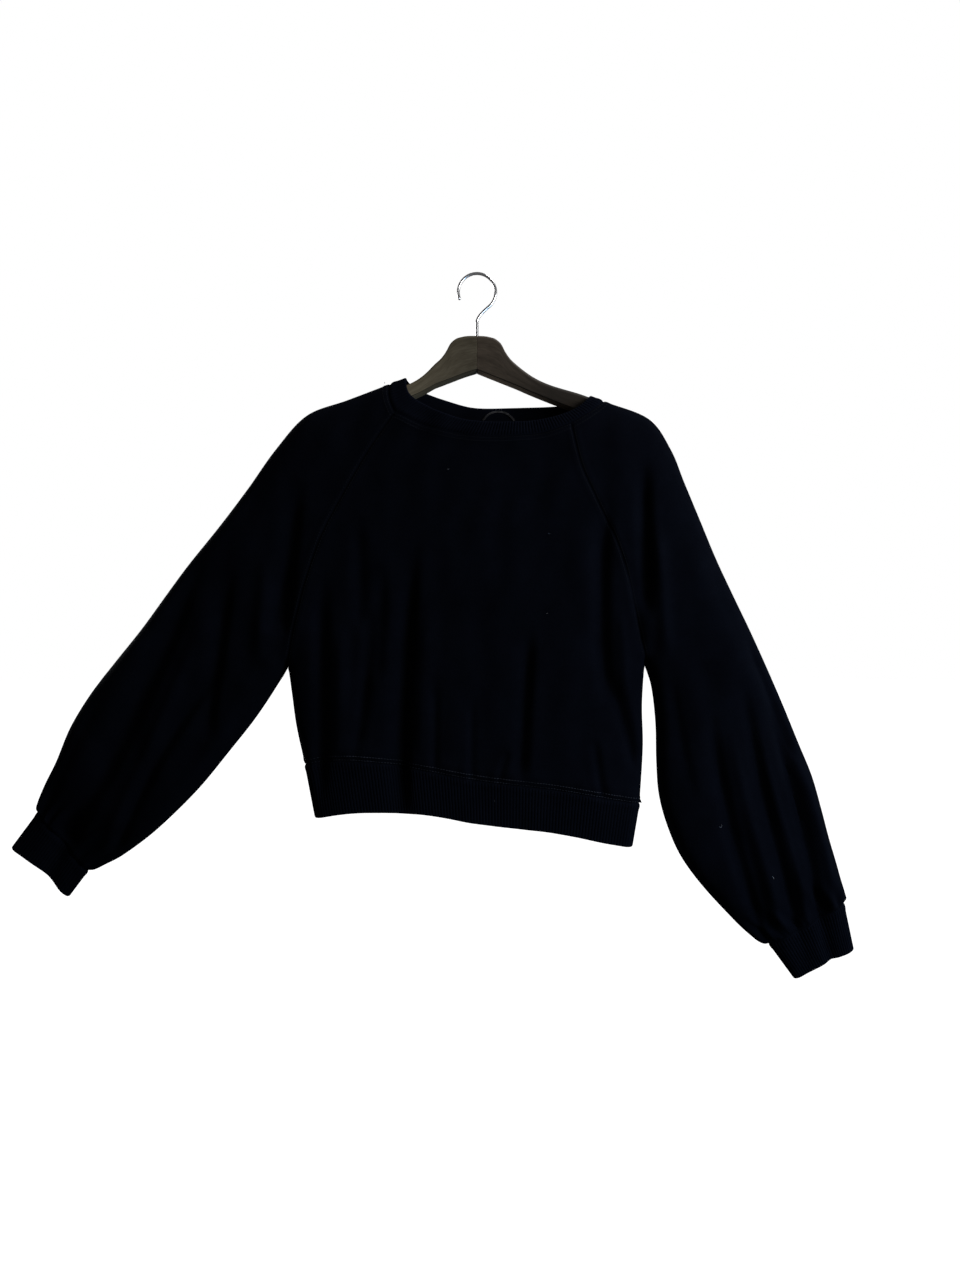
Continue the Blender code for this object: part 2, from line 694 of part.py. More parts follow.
def neck_loop(name, material):
    """A plain tape in an arch, flat against the inside of the back neck band."""
    along = np.linspace(-1.0, 1.0, 13)
    arch = np.stack([LOOP_MIDDLE[0] + LOOP_HALF_SPAN * along, LOOP_MIDDLE[1] - LOOP_DROP * along ** 2], axis=1)
    lines = np.array([beside(arch, shift) for shift in (LOOP_WIDTH / 2, -LOOP_WIDTH / 2)])
    points, normal = surface(lines, BACK)
    outer = points - (RIB_WALL + GAP) * normal
    return cloth(name, outer, outer - LOOP_THICKNESS * normal, 2, material)


# ------------------------------------------------------------------------------------------ the hanger

def arm_top(x):
    """Top of the wooden arm, level with the inside of the cloth that rests on it."""
    return SHOULDER_PEAK - (RIB_WALL + HANGER_CLEARANCE) / math.cos(ARM_FALL) - x * math.tan(ARM_FALL)


def bar_section(x, top, bottom, thickness):
    """A bar's cross-section: a rectangle with large round corners above and small ones below."""
    half = thickness / 2
    points = []
    for sign_y, sign_z, radius, first in ((1, 1, TOP_RADIUS, 90), (1, -1, BOTTOM_RADIUS, 0),
                                          (-1, -1, BOTTOM_RADIUS, -90), (-1, 1, TOP_RADIUS, -180)):
        radius = min(radius, half * 0.8, (top - bottom) / 2 * 0.8)
        middle_y = sign_y * (half - radius)
        middle_z = (top - radius) if sign_z > 0 else (bottom + radius)
        for step in range(4 if sign_z > 0 else 3):
            angle = math.radians(first - 90 * step / (3 if sign_z > 0 else 2))
            points.append((x, middle_y + radius * math.cos(angle), middle_z + radius * math.sin(angle)))
    return points


def hanger_half(name, sign, material):
    """One mitred half: sections from the middle out to the rounded tip, tilted with the whole hanger."""
    sections_out = [(x, top, bottom, HANGER_THICKNESS) for x, top, bottom in HEAD]
    for x, draw_in, share in ARM:
        sections_out.append((x, arm_top(x) - draw_in, arm_top(x) - ARM_HEIGHT + draw_in,
                             HANGER_THICKNESS * share))
    rings = [bar_section(*values) for values in sections_out]
    size = len(rings[0])
    points = np.array([point for ring in rings for point in ring])
    x = points[:, 0] * sign
    z = points[:, 2] - SHOULDER_PEAK
    points[:, 0] = x * math.cos(TILT) - z * math.sin(TILT)
    points[:, 2] = SHOULDER_PEAK + x * math.sin(TILT) + z * math.cos(TILT)
    faces = [tuple(range(size)), tuple(range(size * (len(rings) - 1), size * len(rings)))]
    for ring in range(len(rings) - 1):
        first = [ring * size + k for k in range(size)]
        second = [number + size for number in first]
        faces += bridge(first + first[:1], second + second[:1])
    return make_object(name, points, faces, material)


def hook_points():
    """The wire's middle line: up the shank, round the crook from its right side to its left."""
    radius = (HOOK_INSIDE + WIRE) / 2
    angles = np.radians(np.linspace(CROOK_START, CROOK_END, 17))
    crook = np.stack([radius * np.cos(angles), -HOOK_INSIDE / 2 + radius * np.sin(angles)], axis=1)
    shank = np.array([(0.0, HEAD[0][1] + SHANK_GAP), (0.0, SHANK_BEND)])
    t = np.linspace(0.0, 1.0, 6)[1:-1, None]
    leave = np.array((0.0, BEND_PULL))
    arrive = np.array((-math.sin(angles[0]), math.cos(angles[0]))) * BEND_PULL
    bend = ((1 + 2 * t) * (1 - t) ** 2 * shank[1] + t * (1 - t) ** 2 * leave
            + t * t * (3 - 2 * t) * crook[0] - t * t * (1 - t) * arrive)
    return np.vstack([shank, bend, crook])


def hanger_hook(name, material):
    """A wire hook: a curve with a round bevel and filled ends."""
    data = bpy.data.curves.new(name, "CURVE")
    data.dimensions = "3D"
    data.bevel_depth = WIRE / 2000.0
    data.bevel_resolution = 2
    data.use_fill_caps = True
    points = hook_points() / 1000.0
    spline = data.splines.new("POLY")
    spline.points.add(len(points) - 1)
    for point, (x, z) in zip(spline.points, points):
        point.co = (x, 0.0, z, 1.0)
    spline.use_smooth = True
    data.materials.append(material)
    item = bpy.data.objects.new(name, data)
    PARTS.objects.link(item)
    return item


# ------------------------------------------------------------------------------------------------ build

for old in list(bpy.data.objects):
    bpy.data.objects.remove(old, do_unlink=True)
PARTS = bpy.data.collections.new("sweatshirt_on_hanger")
bpy.context.scene.collection.children.link(PARTS)

FLEECE = finish("black fleece", (0.004, 0.004, 0.006), 0.95)
RIB = finish("black rib knit", (0.004, 0.004, 0.006), 0.9)
TAPE = finish("grey tape", (0.16, 0.16, 0.17), 0.7)
WOOD = finish("dark stained wood", (0.035, 0.027, 0.019), 0.45)
STEEL = finish("hook steel", (0.55, 0.55, 0.56), 0.3, 1.0)

body_panel("front_panel", FRONT, FRONT_COLUMNS, FLEECE)
body_panel("back_panel", BACK, BACK_COLUMNS, FLEECE)
sleeve("left_sleeve", True, FLEECE)
sleeve("right_sleeve", False, FLEECE)
neck_band("neck_band", RIB)
hem_band("hem_band", RIB)
cuff("left_cuff", LEFT_CUFF, RIB)
cuff("right_cuff", RIGHT_CUFF, RIB)
neck_loop("neck_loop", TAPE)
hanger_half("hanger_left", -1, WOOD)
hanger_half("hanger_right", 1, WOOD)
hanger_hook("hanger_hook", STEEL)
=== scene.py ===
# %% [markdown]
# # A cropped sweatshirt on a clothes hanger
#
# The sweatshirt is a crew neck with full raglan sleeves, gathered into ribbed cuffs, in a navy so dark that
# it looks black. It hangs on a wooden hanger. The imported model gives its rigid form. This lesson puts the
# looks round it: thin shells of cloth with folds, ribs that can be counted, stitching, a tape loop, stained
# wood and a bright wire hook.
#
# Lengths are in millimetres while a shape is worked out, as (x, z) seen from the front, and become metres
# when they go into a mesh. The garment faces -Y and the origin is the inner crown of the hook.

# %% The fixed frame
import json
import math

import bpy
import numpy as np
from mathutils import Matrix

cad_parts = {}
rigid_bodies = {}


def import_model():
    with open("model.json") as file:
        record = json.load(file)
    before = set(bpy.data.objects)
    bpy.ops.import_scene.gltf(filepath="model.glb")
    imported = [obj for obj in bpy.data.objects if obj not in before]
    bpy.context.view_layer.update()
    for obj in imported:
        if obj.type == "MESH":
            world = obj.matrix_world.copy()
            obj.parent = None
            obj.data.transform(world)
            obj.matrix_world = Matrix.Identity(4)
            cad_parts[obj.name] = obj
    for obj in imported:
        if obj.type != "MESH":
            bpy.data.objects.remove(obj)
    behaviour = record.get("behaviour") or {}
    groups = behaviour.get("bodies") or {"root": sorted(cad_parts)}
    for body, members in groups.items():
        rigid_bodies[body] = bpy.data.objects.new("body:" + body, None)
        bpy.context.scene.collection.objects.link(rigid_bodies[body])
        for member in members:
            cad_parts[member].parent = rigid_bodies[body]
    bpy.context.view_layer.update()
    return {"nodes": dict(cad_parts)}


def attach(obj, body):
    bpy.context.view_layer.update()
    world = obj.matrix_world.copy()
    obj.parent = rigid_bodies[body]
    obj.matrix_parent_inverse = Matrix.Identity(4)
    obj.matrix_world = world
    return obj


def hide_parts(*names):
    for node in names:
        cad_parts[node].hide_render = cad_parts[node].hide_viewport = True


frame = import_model()
MM = 0.001
print("solids:", ", ".join(sorted(frame["nodes"])))

# %% [markdown]
# ## The camera
#
# The photograph looks straight at the front from about an arm's length and a half. One pixel is 1.22 mm on
# the garment's middle plane, so the distance and the height of the frame give the lens.

# %% The camera
CAMERA_DISTANCE = 1.15
CAMERA_X, CAMERA_Z = 0.0037, -0.4453
FRAME_HEIGHT = 1.5616      # metres of the middle plane from the top of the frame to its bottom
SENSOR = 36.0

camera_data = bpy.data.cameras.new("camera")
camera_data.sensor_fit = "VERTICAL"
camera_data.sensor_height = SENSOR
camera_data.lens = SENSOR * CAMERA_DISTANCE / FRAME_HEIGHT
camera = bpy.data.objects.new("camera", camera_data)
camera.location = (CAMERA_X, -CAMERA_DISTANCE, CAMERA_Z)
camera.rotation_euler = (math.pi / 2, 0.0, 0.0)
bpy.context.scene.collection.objects.link(camera)
bpy.context.scene.camera = camera
print(f"lens {camera_data.lens:.1f} mm")

# %% [markdown]
# ## Soft lines
#
# Every edge of the garment is a smooth curve through a few measured points. Blender's own curve objects could
# draw one, but the same lines also place the cloth, the seams and the stitches, so they are worked out as
# arrays. A Hermite curve passes through each point with the slope of its two neighbours.

# %% Curves
def smooth(value):
    """Zero below 0, one above 1, and 3v^2 - 2v^3 between them."""
    value = np.clip(value, 0.0, 1.0)
    return value * value * (3.0 - 2.0 * value)


def bell(value):
    """exp(-v^2): one at 0, a third at 1 and nearly nothing past 2."""
    return np.exp(-value ** 2)


def unit(vectors):
    """Vectors divided by their own lengths."""
    return vectors / np.linalg.norm(vectors, axis=-1, keepdims=True)


def left_of(vectors):
    """Plan vectors after a quarter turn to the left: (x, z) becomes (-z, x)."""
    return np.stack([-vectors[..., 1], vectors[..., 0]], axis=-1)


def hermite(t, start, leave, end, arrive, span=1.0):
    """(1 + 2t)(1 - t)^2 start + t(1 - t)^2 span leave + t^2(3 - 2t) end - t^2(1 - t) span arrive."""
    return ((1 + 2 * t) * (1 - t) ** 2 * start + t * (1 - t) ** 2 * span * leave
            + t * t * (3 - 2 * t) * end - t * t * (1 - t) * span * arrive)


def curve(points, at, knots=None):
    """The Hermite curve through the points, read at the given places; knots default to 0, 1, 2 and on."""
    points = np.asarray(points, float)
    knots = np.arange(len(points), dtype=float) if knots is None else np.asarray(knots, float)
    at = np.asarray(at, float)
    slopes = np.gradient(points, knots, axis=0)
    first = np.clip(np.searchsorted(knots, at, side="right") - 1, 0, len(knots) - 2)
    span = (knots[first + 1] - knots[first])[:, None]
    t = (at - knots[first])[:, None] / span
    return hermite(t, points[first], slopes[first], points[first + 1], slopes[first + 1], span)


def lengths(points):
    """Distance along a line of points, from its first."""
    return np.concatenate(([0.0], np.cumsum(np.linalg.norm(np.diff(points, axis=0), axis=1))))


def straight(start, end, share):
    """Points of a straight line at shares of its length."""
    return start + (end - start) * share[:, None]


def beside(line, amount):
    """The line moved sideways, to its left for a positive amount."""
    return line + amount * left_of(unit(np.gradient(line, axis=0)))


def read_line(points, share):
    """Points of a line at shares of its length."""
    along = lengths(points)
    return np.stack([np.interp(share * along[-1], along, column) for column in points.T], axis=1)

# %% Even and uneven steps
END_DISTANCES = np.array((0.0, 0.1, 0.35, 0.8, 1.4, 2.2, 3.2, 4.5, 6.2, 8.4, 11.0))


def spaced(length, step, fine_start=True, fine_end=True):
    """Shares of a length: even steps, with the closer END_DISTANCES at an edge that turns or is sewn."""
    start = END_DISTANCES if fine_start else np.array((0.0,))
    end = END_DISTANCES if fine_end else np.array((0.0,))
    middle = length - start[-1] - end[-1]
    even = start[-1] + np.linspace(0.0, middle, round(middle / step) + 1)
    return np.concatenate([start[:-1], even, length - end[-2::-1]]) / length


print("shares of a 60 mm band:", np.round(spaced(60, 6), 2))

# %% [markdown]
# ## The garment's plan
#
# Seen from the front, the sweatshirt is a flat pattern: two raglan sleeves that run from the neck to the
# cuffs, and a body that falls from the armpits to the hem. A sleeve is a table of sections, each from its
# outer edge to its inner edge. A traced outline would look the same, but sections also say which way the
# cloth runs. The shoulders lie on the two straight lines of the hanger's arms.

# %% Measures of the plan
ARM_FALL, TILT = math.radians(21.2), math.radians(-0.4)   # slope of the hanger's arms, and its tilt
SHOULDER_PEAK = -93.8

# Columns: top x, top z, low x, low z. A top z of None lies on the shoulder line.
LEFT_OPEN = (
    (-105, None, -98, -173),
    (-157, None, -130, -219),
    (-207, None, -158, -267),
    (-245, -214, -185, -318),
    (-279, -262, -204, -371),
    (-313, -307, -218, -425),
    (-350, -353, -230, -475),
)
LEFT_CLOSED = (
    (-375.5, -387.5, -245, -502.5),
    (-407, -431, -271, -541.5),
    (-439, -471, -303, -582),
    (-469.5, -510.5, -336, -622.5),
    (-494, -551, -369, -656.5),
    (-511.5, -593, -402, -686),
    (-526, -621, -432, -706),
    (-533.5, -641, -460, -717),
    (-533.5, -653, -474, -726),
)
LEFT_CUFF_END = (-567, -698, -498, -758)
RIGHT_OPEN = (
    (154, None, 112, -186),
    (209, None, 124, -235),
    (236, -214, 143, -277),
    (252, -253, 165, -322),
    (271.5, -300, 181, -370),
    (291, -347, 192, -420),
    (312, -392, 204, -472),
)
RIGHT_CLOSED = (
    (331, -431.5, 213, -503),
    (351, -475.5, 218, -547),
    (371, -521.5, 219, -592),
    (390, -568, 222, -633),
    (407, -609.5, 232, -671),
    (418.5, -649.5, 249, -709.5),
    (428.5, -687.5, 277, -747.5),
    (440, -725, 314, -786),
    (447, -750, 341, -805.5),
    (447, -764.5, 355.5, -815),
)
RIGHT_CUFF_END = (459, -822, 387, -858)
# Side seams from the armpits to the hem seam, then the end of the hem band.
# Columns: left x, left z, right x, right z.
SIDES = (
    (-230, -475, 204, -472),
    (-225, -512, 201, -524),
    (-219.5, -551, 202, -575),
    (-209.5, -596, 198, -643),
)
HEM_END = (-197, -661, 189, -696)
# Rise of the hem's lines above straight ones. Columns: share of the width, seam, edge.
FRONT_HEM_RISE = (
    (0.00, 0, 0),
    (0.10, 10.5, 11),
    (0.22, 14, 17),
    (0.35, 11.5, 19),
    (0.50, 7, 14),
    (0.75, 6, 11),
    (1.00, 0, 0),
)
BACK_HEM_RISE = ((0.0, 0, 0), (0.25, 7, 8), (0.5, 9, 11), (0.75, 7, 8), (1.0, 0, 0))
NECK_BOW = 4.0             # how far the neck seam curves out across the top of each sleeve
FRONT_NECK = ((-98, -173), (-62, -189), (-12, -200), (40, -201), (84, -196), (112, -186))
BACK_NECK = ((-93, -156), (-60, -166), (-10, -175), (42, -176), (95, -175), (133, -170))
SHOULDER_EDGE_X = (-86, 138)
FRONT_NECK_EDGE = ((-82, -148), (-56, -167), (-18, -181), (27, -185), (69, -183), (100, -176), (124, -164))
BACK_NECK_EDGE = ((-77, -133), (-60, -140), (-35, -148), (-2, -156), (41, -156), (92, -155), (122, -153))
FRONT, BACK = -1, 1
LAYERS = (FRONT, BACK)
TOP, LOW = slice(0, 2), slice(2, 4)
print("sections of the sleeves:", len(LEFT_OPEN + LEFT_CLOSED), "and", len(RIGHT_OPEN + RIGHT_CLOSED))

# %% The plan's lines
OUTLINE_STEPS = 8          # points along an outline for each row of a table
FINE_STEPS = 40            # and along a middle line that is measured


def shoulder_z(x):
    """Height of the cloth's shoulder line, which falls both ways from its peak."""
    fall = np.where(np.asarray(x) < 0, ARM_FALL + TILT, ARM_FALL - TILT)
    return SHOULDER_PEAK - np.abs(x) * np.tan(fall)


def filled(rows):
    """A table of sections with each None put on the shoulder line."""
    return np.array([(tx, shoulder_z(tx) if tz is None else tz, lx, lz) for tx, tz, lx, lz in rows], float)


def middle_of(table):
    """The line halfway between the two sides of a table of sections."""
    return (table[:, TOP] + table[:, LOW]) / 2


def sections(table, start, stop, share):
    """Sections of a table between two of its rows, at shares of the length of its middle line."""
    fine = np.linspace(start, stop, FINE_STEPS * (stop - start) + 1)
    along = lengths(middle_of(curve(table, fine)))
    return curve(table, np.interp(share * along[-1], along, fine))


def edge_line(table, band_table, columns, start=0):
    """One side of a table of sections from its start row on, then its band's free end and a place past it."""
    last = len(table) - 1
    line = curve(table, np.linspace(start, last, OUTLINE_STEPS * (last - start) + 1))[:, columns]
    line = np.vstack([line, band_table[1, columns]])
    return np.vstack([line, line[-1] + (line[-1] - line[-2]) * 2.0])


LEFT_SLEEVE = filled(LEFT_OPEN + LEFT_CLOSED)
RIGHT_SLEEVE = filled(RIGHT_OPEN + RIGHT_CLOSED)
ARMPIT_ROW = len(LEFT_OPEN) - 1
LEFT_CUFF = np.array((LEFT_CLOSED[-1], LEFT_CUFF_END), float)
RIGHT_CUFF = np.array((RIGHT_CLOSED[-1], RIGHT_CUFF_END), float)
CUFFS = (LEFT_CUFF, RIGHT_CUFF)
BODY_SIDES = np.array(SIDES, float)
HEM_SIDES = np.array((SIDES[-1], HEM_END), float)

LEFT_TOP, RIGHT_TOP = edge_line(LEFT_SLEEVE, LEFT_CUFF, TOP), edge_line(RIGHT_SLEEVE, RIGHT_CUFF, TOP)
LEFT_LOW = edge_line(LEFT_SLEEVE, LEFT_CUFF, LOW, ARMPIT_ROW)
RIGHT_LOW = edge_line(RIGHT_SLEEVE, RIGHT_CUFF, LOW, ARMPIT_ROW)
LEFT_SIDE, RIGHT_SIDE = (edge_line(BODY_SIDES, HEM_SIDES, columns) for columns in (TOP, LOW))
# Each line runs so that the outside is on its left.
OUTLINE = (
    np.vstack([LEFT_TOP[::-1], [[0.0, SHOULDER_PEAK]], RIGHT_TOP]),
    np.vstack([LEFT_SIDE[::-1], LEFT_LOW[1:]]),
    np.vstack([RIGHT_LOW[::-1], RIGHT_SIDE[1:]]),
)
print("outline:", sum(len(line) for line in OUTLINE), "points")

# %% The seams
def hem_line(row, side, share):
    """The hem's seam (row 0) or free edge (row 1) at shares of its width: a straight line and its rise."""
    line = straight(HEM_SIDES[row, TOP], HEM_SIDES[row, LOW], share)
    table = np.array(FRONT_HEM_RISE if side == FRONT else BACK_HEM_RISE, float)
    line[:, 1] += curve(table[:, row + 1:row + 2], share, table[:, 0])[:, 0]
    return line


def raglan(left, side, share):
    """A raglan seam, from the neck at share 0 to the armpit at 1. The back one starts higher."""
    line = sections(LEFT_SLEEVE if left else RIGHT_SLEEVE, 0, ARMPIT_ROW, share)[:, LOW]
    if side == BACK:
        end = 0 if left else -1
        line = line + (1.0 - share[:, None]) ** 2 * (np.array(BACK_NECK[end]) - np.array(FRONT_NECK[end]))
    return line


def even_curve(points, share):
    """The curve through the points, read at shares of the length of their straight line."""
    points = np.array(points, float)
    along = lengths(points)
    return curve(points, share * along[-1], along)


def neck_line(side, share):
    """The neck seam between the raglan seams."""
    return even_curve(FRONT_NECK if side == FRONT else BACK_NECK, share)


def neck_bow(left, share):
    """How the neck seam curves out between the shoulder line and the raglan seam: a parabola."""
    bow = (-NECK_BOW if left else NECK_BOW) * 4.0 * share * (1.0 - share)
    return np.stack([bow, np.zeros(len(share))], axis=1)


def neck_seam(side):
    """The whole neck seam of one layer, from shoulder line to shoulder line."""
    share = np.linspace(0.0, 1.0, 31)
    middle = neck_line(side, np.linspace(0.0, 1.0, 121))
    parts = [straight(table[0, TOP], end, share) + neck_bow(left, share)
             for left, table, end in ((True, LEFT_SLEEVE, middle[0]), (False, RIGHT_SLEEVE, middle[-1]))]
    return np.vstack([parts[0][:-1], middle, parts[1][::-1][1:]])


def neck_edge(side):
    """The neck band's free edge of one layer, from shoulder line to shoulder line."""
    first, last = [(x, float(shoulder_z(x))) for x in SHOULDER_EDGE_X]
    points = FRONT_NECK_EDGE if side == FRONT else BACK_NECK_EDGE
    return even_curve((first, *points, last), np.linspace(0.0, 1.0, 161))


EVEN = np.linspace(0.0, 1.0, 61)
HEM_SEAM = {side: hem_line(0, side, EVEN) for side in LAYERS}
NECK_SEAM = {side: neck_seam(side) for side in LAYERS}
RAGLAN = {(left, side): raglan(left, side, EVEN) for left in (True, False) for side in LAYERS}
CUFF_SEAMS = [np.array((cuff[0, TOP], cuff[0, LOW])) for cuff in CUFFS]
SEAMS = {side: (HEM_SEAM[side], NECK_SEAM[side], RAGLAN[True, side], RAGLAN[False, side], *CUFF_SEAMS)
         for side in LAYERS}
print("front neck seam", round(lengths(NECK_SEAM[FRONT])[-1]), "mm")

# %% [markdown]
# ## From the plan to cloth
#
# Hung cloth is two layers that turn into each other at the outline. Its depth at a point is a sum of quarter
# ellipses over the distance to the nearest outline: a steep one for the turn of the edge and a long one for
# the soft fullness. Because the rule knows only the place, two pieces that share a seam meet there exactly.
#
# A cloth simulation could hang the sweatshirt, but its folds would not be those of the photograph. So folds
# come from a table: long troughs where the body hangs from the armholes, and bundles that run down
# the sleeves into the cuffs. Each is a bell across its line, with its own half width on either side, so that
# a fold can be sharp on one side and soft on the other. The back, which the photograph doesn't show, gets
# similar ones.

# %% Distances
SLICE = 3000               # points handled at once, to save memory


def segments(lines):
    """Starts and steps (end - start) of all the straight pieces of some lines."""
    return np.vstack([line[:-1] for line in lines]), np.vstack([np.diff(line, axis=0) for line in lines])


def closest(plan, starts, steps):
    """For each plan point, the closest piece, the vector to it and the distance.

    share = offset . step / step . step, held between 0 and 1, gives the piece's nearest place.
    """
    squares = np.sum(steps ** 2, axis=1)
    pieces, ways = [], []
    for first in range(0, len(plan), SLICE):
        offset = plan[first:first + SLICE, None, :] - starts
        share = np.clip(np.sum(offset * steps, axis=2) / squares, 0.0, 1.0)
        way = share[:, :, None] * steps - offset
        best = np.argmin(np.sum(way ** 2, axis=2), axis=1)
        pieces.append(best)
        ways.append(way[np.arange(len(best)), best])
    way = np.vstack(ways)
    return np.concatenate(pieces), way, np.linalg.norm(way, axis=1)


STARTS, STEPS = segments(OUTLINE)
STEP_NORMALS = unit(left_of(STEPS))
SEAM_PIECES = {side: segments(SEAMS[side]) for side in LAYERS}
print("straight pieces of the outline:", len(STARTS))

# %% Folds
# Columns: x and z at one end, x and z at the other, sideways bow, half width left, half width right, height.
FRONT_FOLDS = (
    # body, from the left
    (-184, -350, -188, -650, 0, 9, 9, -8),
    (-160, -420, -165, -600, 0, 9, 9, 4),
    (-142, -290, -138, -440, 0, 9, 9, -5),
    (-126, -385, -147, -590, 4, 7, 8, -6),
    (-112, -350, -119, -500, 0, 9, 7, -4),
    (-72, -318, -88, -670, -5, 14, 7, -13),
    (-56, -390, -66, -600, -3, 8, 12, 4),
    (-49, -490, -50, -610, 0, 5, 4, -3),
    (-6, -510, -7, -620, 0, 4, 5, -2.5),
    (-22, -420, -27, -600, 0, 20, 20, 3),
    (64, -425, 52, -620, 0, 9, 5, -6),
    (38, -575, 24, -620, 0, 4, 4, -3),
    (74, -430, 66, -620, 0, 6, 18, 3),
    (158, -265, 160, -530, -9, 12, 8, -11),
    (158, -480, 198, -610, 0, 9, 7, -8),
    (140, -560, 151, -640, 0, 5, 4, -4),
    (183, -345, 199, -465, 0, 6, 7, -5),
    (172, -400, 178, -520, 0, 6, 6, 3),
    (10, -260, 4, -420, 0, 30, 30, 2),
    # left sleeve and cuff
    (-213, -250, -236, -450, 0, 13, 9, -11),
    (-222, -345, -250, -440, 0, 7, 6, -4),
    (-325, -325, -532, -745, 19, 18, 9, -12),
    (-322, -405, -455, -720, 4, 9, 9, 6),
    (-292, -350, -323, -570, 0, 12, 6, -8),
    (-295, -465, -447, -735, -13, 10, 6, -9),
    (-262, -480, -450, -725, 15, 10, 9, 5),
    (-250, -330, -262, -480, 0, 9, 9, 4),
    (-330, -330, -500, -640, -4, 20, 16, 4),
    (-440, -500, -525, -670, -4, 8, 8, -3),
    (-480, -640, -530, -775, 0, 14, 12, -9),
    # right sleeve and cuff
    (200, -225, 203, -425, 0, 9, 7, -11),
    (214, -300, 226, -470, 0, 8, 9, 5),
    (250, -300, 330, -520, -4, 22, 18, 4),
    (320, -430, 384, -600, 4, 8, 5, -7),
    (277, -515, 359, -840, -10, 9, 5, -7.5),
    (310, -640, 368, -845, 0, 14, 8, -4),
    (300, -540, 376, -820, -7, 7, 7, 3.5),
    (316, -485, 401, -840, -6, 9, 5, -8),
    (333, -550, 412, -820, -4, 7, 6, 4),
    (342, -500, 424, -840, 8, 8, 5, -8),
    (352, -640, 392, -790, 3, 4, 3, -2.5),
    (292, -640, 330, -770, -3, 5, 3, -2.5),
    (232, -480, 262, -640, -3, 8, 5, -2.5),
    (372, -560, 441, -820, 6, 6, 8, 6),
    (410, -740, 438, -870, 0, 8, 5, -8),
)
BACK_FOLDS = (
    # body
    (-178, -330, -184, -640, 4, 11, 9, -8),
    (-146, -300, -158, -600, 6, 9, 11, -6),
    (-100, -260, -104, -610, 0, 18, 18, 6),
    (-44, -250, -54, -645, 6, 14, 8, -10),
    (-22, -420, -30, -600, 0, 6, 6, -3),
    (20, -240, 24, -610, 0, 22, 22, 6),
    (62, -440, 60, -600, 0, 6, 5, -3),
    (84, -260, 76, -650, -4, 8, 14, -9),
    (122, -420, 120, -600, 0, 10, 10, 4),
    (154, -290, 168, -640, -6, 13, 9, -9),
    (186, -350, 192, -600, 0, 7, 7, -4),
    # left sleeve
    (-220, -330, -252, -435, 0, 12, 10, -8),
    (-246, -300, -360, -500, 8, 13, 11, -6),
    (-324, -350, -448, -630, 8, 14, 10, -10),
    (-298, -400, -408, -665, 10, 9, 9, 7),
    (-268, -450, -395, -695, 8, 8, 10, -9),
    (-425, -500, -514, -668, 4, 10, 9, -8),
    (-390, -480, -486, -690, 6, 8, 8, 5),
    # right sleeve
    (206, -265, 222, -435, 0, 12, 10, -8),
    (240, -300, 268, -470, 0, 12, 12, 5),
    (258, -410, 332, -770, -8, 9, 12, -10),
    (290, -495, 376, -785, -2, 9, 9, 7),
    (326, -450, 408, -768, 4, 9, 11, -10),
    (360, -500, 424, -755, 5, 7, 8, -6),
    (244, -535, 294, -740, -6, 10, 10, -6),
)
FADE_IN, FADE_OUT = 0.30, 0.18   # shares of a fold's length over which it comes and goes
print("folds in front:", len(FRONT_FOLDS), "and behind:", len(BACK_FOLDS))


def fold_height(plan, side):
    """Sum over the folds: height x bell(distance from the fold's line / half width), faded at the ends."""
    total = np.zeros(len(plan))
    for x0, z0, x1, z1, bow, left, right, height in (FRONT_FOLDS if side == FRONT else BACK_FOLDS):
        line = np.array((x1 - x0, z1 - z0), float)
        length = np.linalg.norm(line)
        line /= length
        offset = plan - (x0, z0)
        share = offset @ line / length
        inside = np.clip(share, 0.0, 1.0)
        across = offset @ left_of(line) - 4.0 * bow * inside * (1.0 - inside)
        fade = smooth(share / FADE_IN) * smooth((1.0 - share) / FADE_OUT)
        total += height * fade * bell(across / np.where(across < 0.0, left, right))
    return total


def less_at_cuffs(plan, amount, reach):
    """One on free cloth, less by the amount past a cuff's seam: 1 - amount x (3v^2 - 2v^3) over the reach."""
    share = np.ones(len(plan))
    for cuff in CUFFS:
        seam, end = middle_of(cuff)
        beyond_seam = (plan - seam) @ (end - seam) / np.linalg.norm(end - seam)
        share -= amount * smooth(1.0 + beyond_seam / reach)
    return share

# %% Unevenness, the blouse above the hem, and the sunk seams
CRUMPLE_WAVES, CRUMPLE = 26, 0.17     # their number and the height of each
BEND, BEND_LENGTH, BEND_START = 9.0, 61.0, 1.3   # the slow wave that bends the others
BLOUSE = 3.2               # how far the body stands out above the tighter hem band
BLOUSE_START, BLOUSE_HEIGHT = 14.0, 22.0
BLOUSE_LEFT, BLOUSE_RIGHT = (-232.0, 14.0), (206.0, 10.0)   # x of each end, and over what width it comes
PUCKER = 0.7               # waves that the hem band's stitches pull into the body
PUCKER_START, PUCKER_HEIGHT = 3.0, 11.0
PUCKER_WAVE, PUCKER_DRIFT = 3.7, 23.0
SEAM_SINK, SEAM_WIDTH = 0.9, 1.5
SEAM_SWELL = 0.55          # the sewn-down seam allowance beside the stitches
SWELL_PLACE, SWELL_WIDTH = 5.0, 3.0
FOLD_HOLD, FOLD_HOLD_REACH = 0.5, 14.0   # how much of each fold a cuff takes out, and from how far

dice = np.random.default_rng(20)
wave_lengths = dice.uniform(34.0, 105.0, CRUMPLE_WAVES)
wave_angles = dice.uniform(-0.55, 0.55, CRUMPLE_WAVES)
WAVE_DIRECTIONS = np.stack([np.cos(wave_angles), np.sin(wave_angles)]) * 2 * math.pi / wave_lengths
WAVE_PHASES = dice.uniform(0.0, 2 * math.pi, (2, CRUMPLE_WAVES))


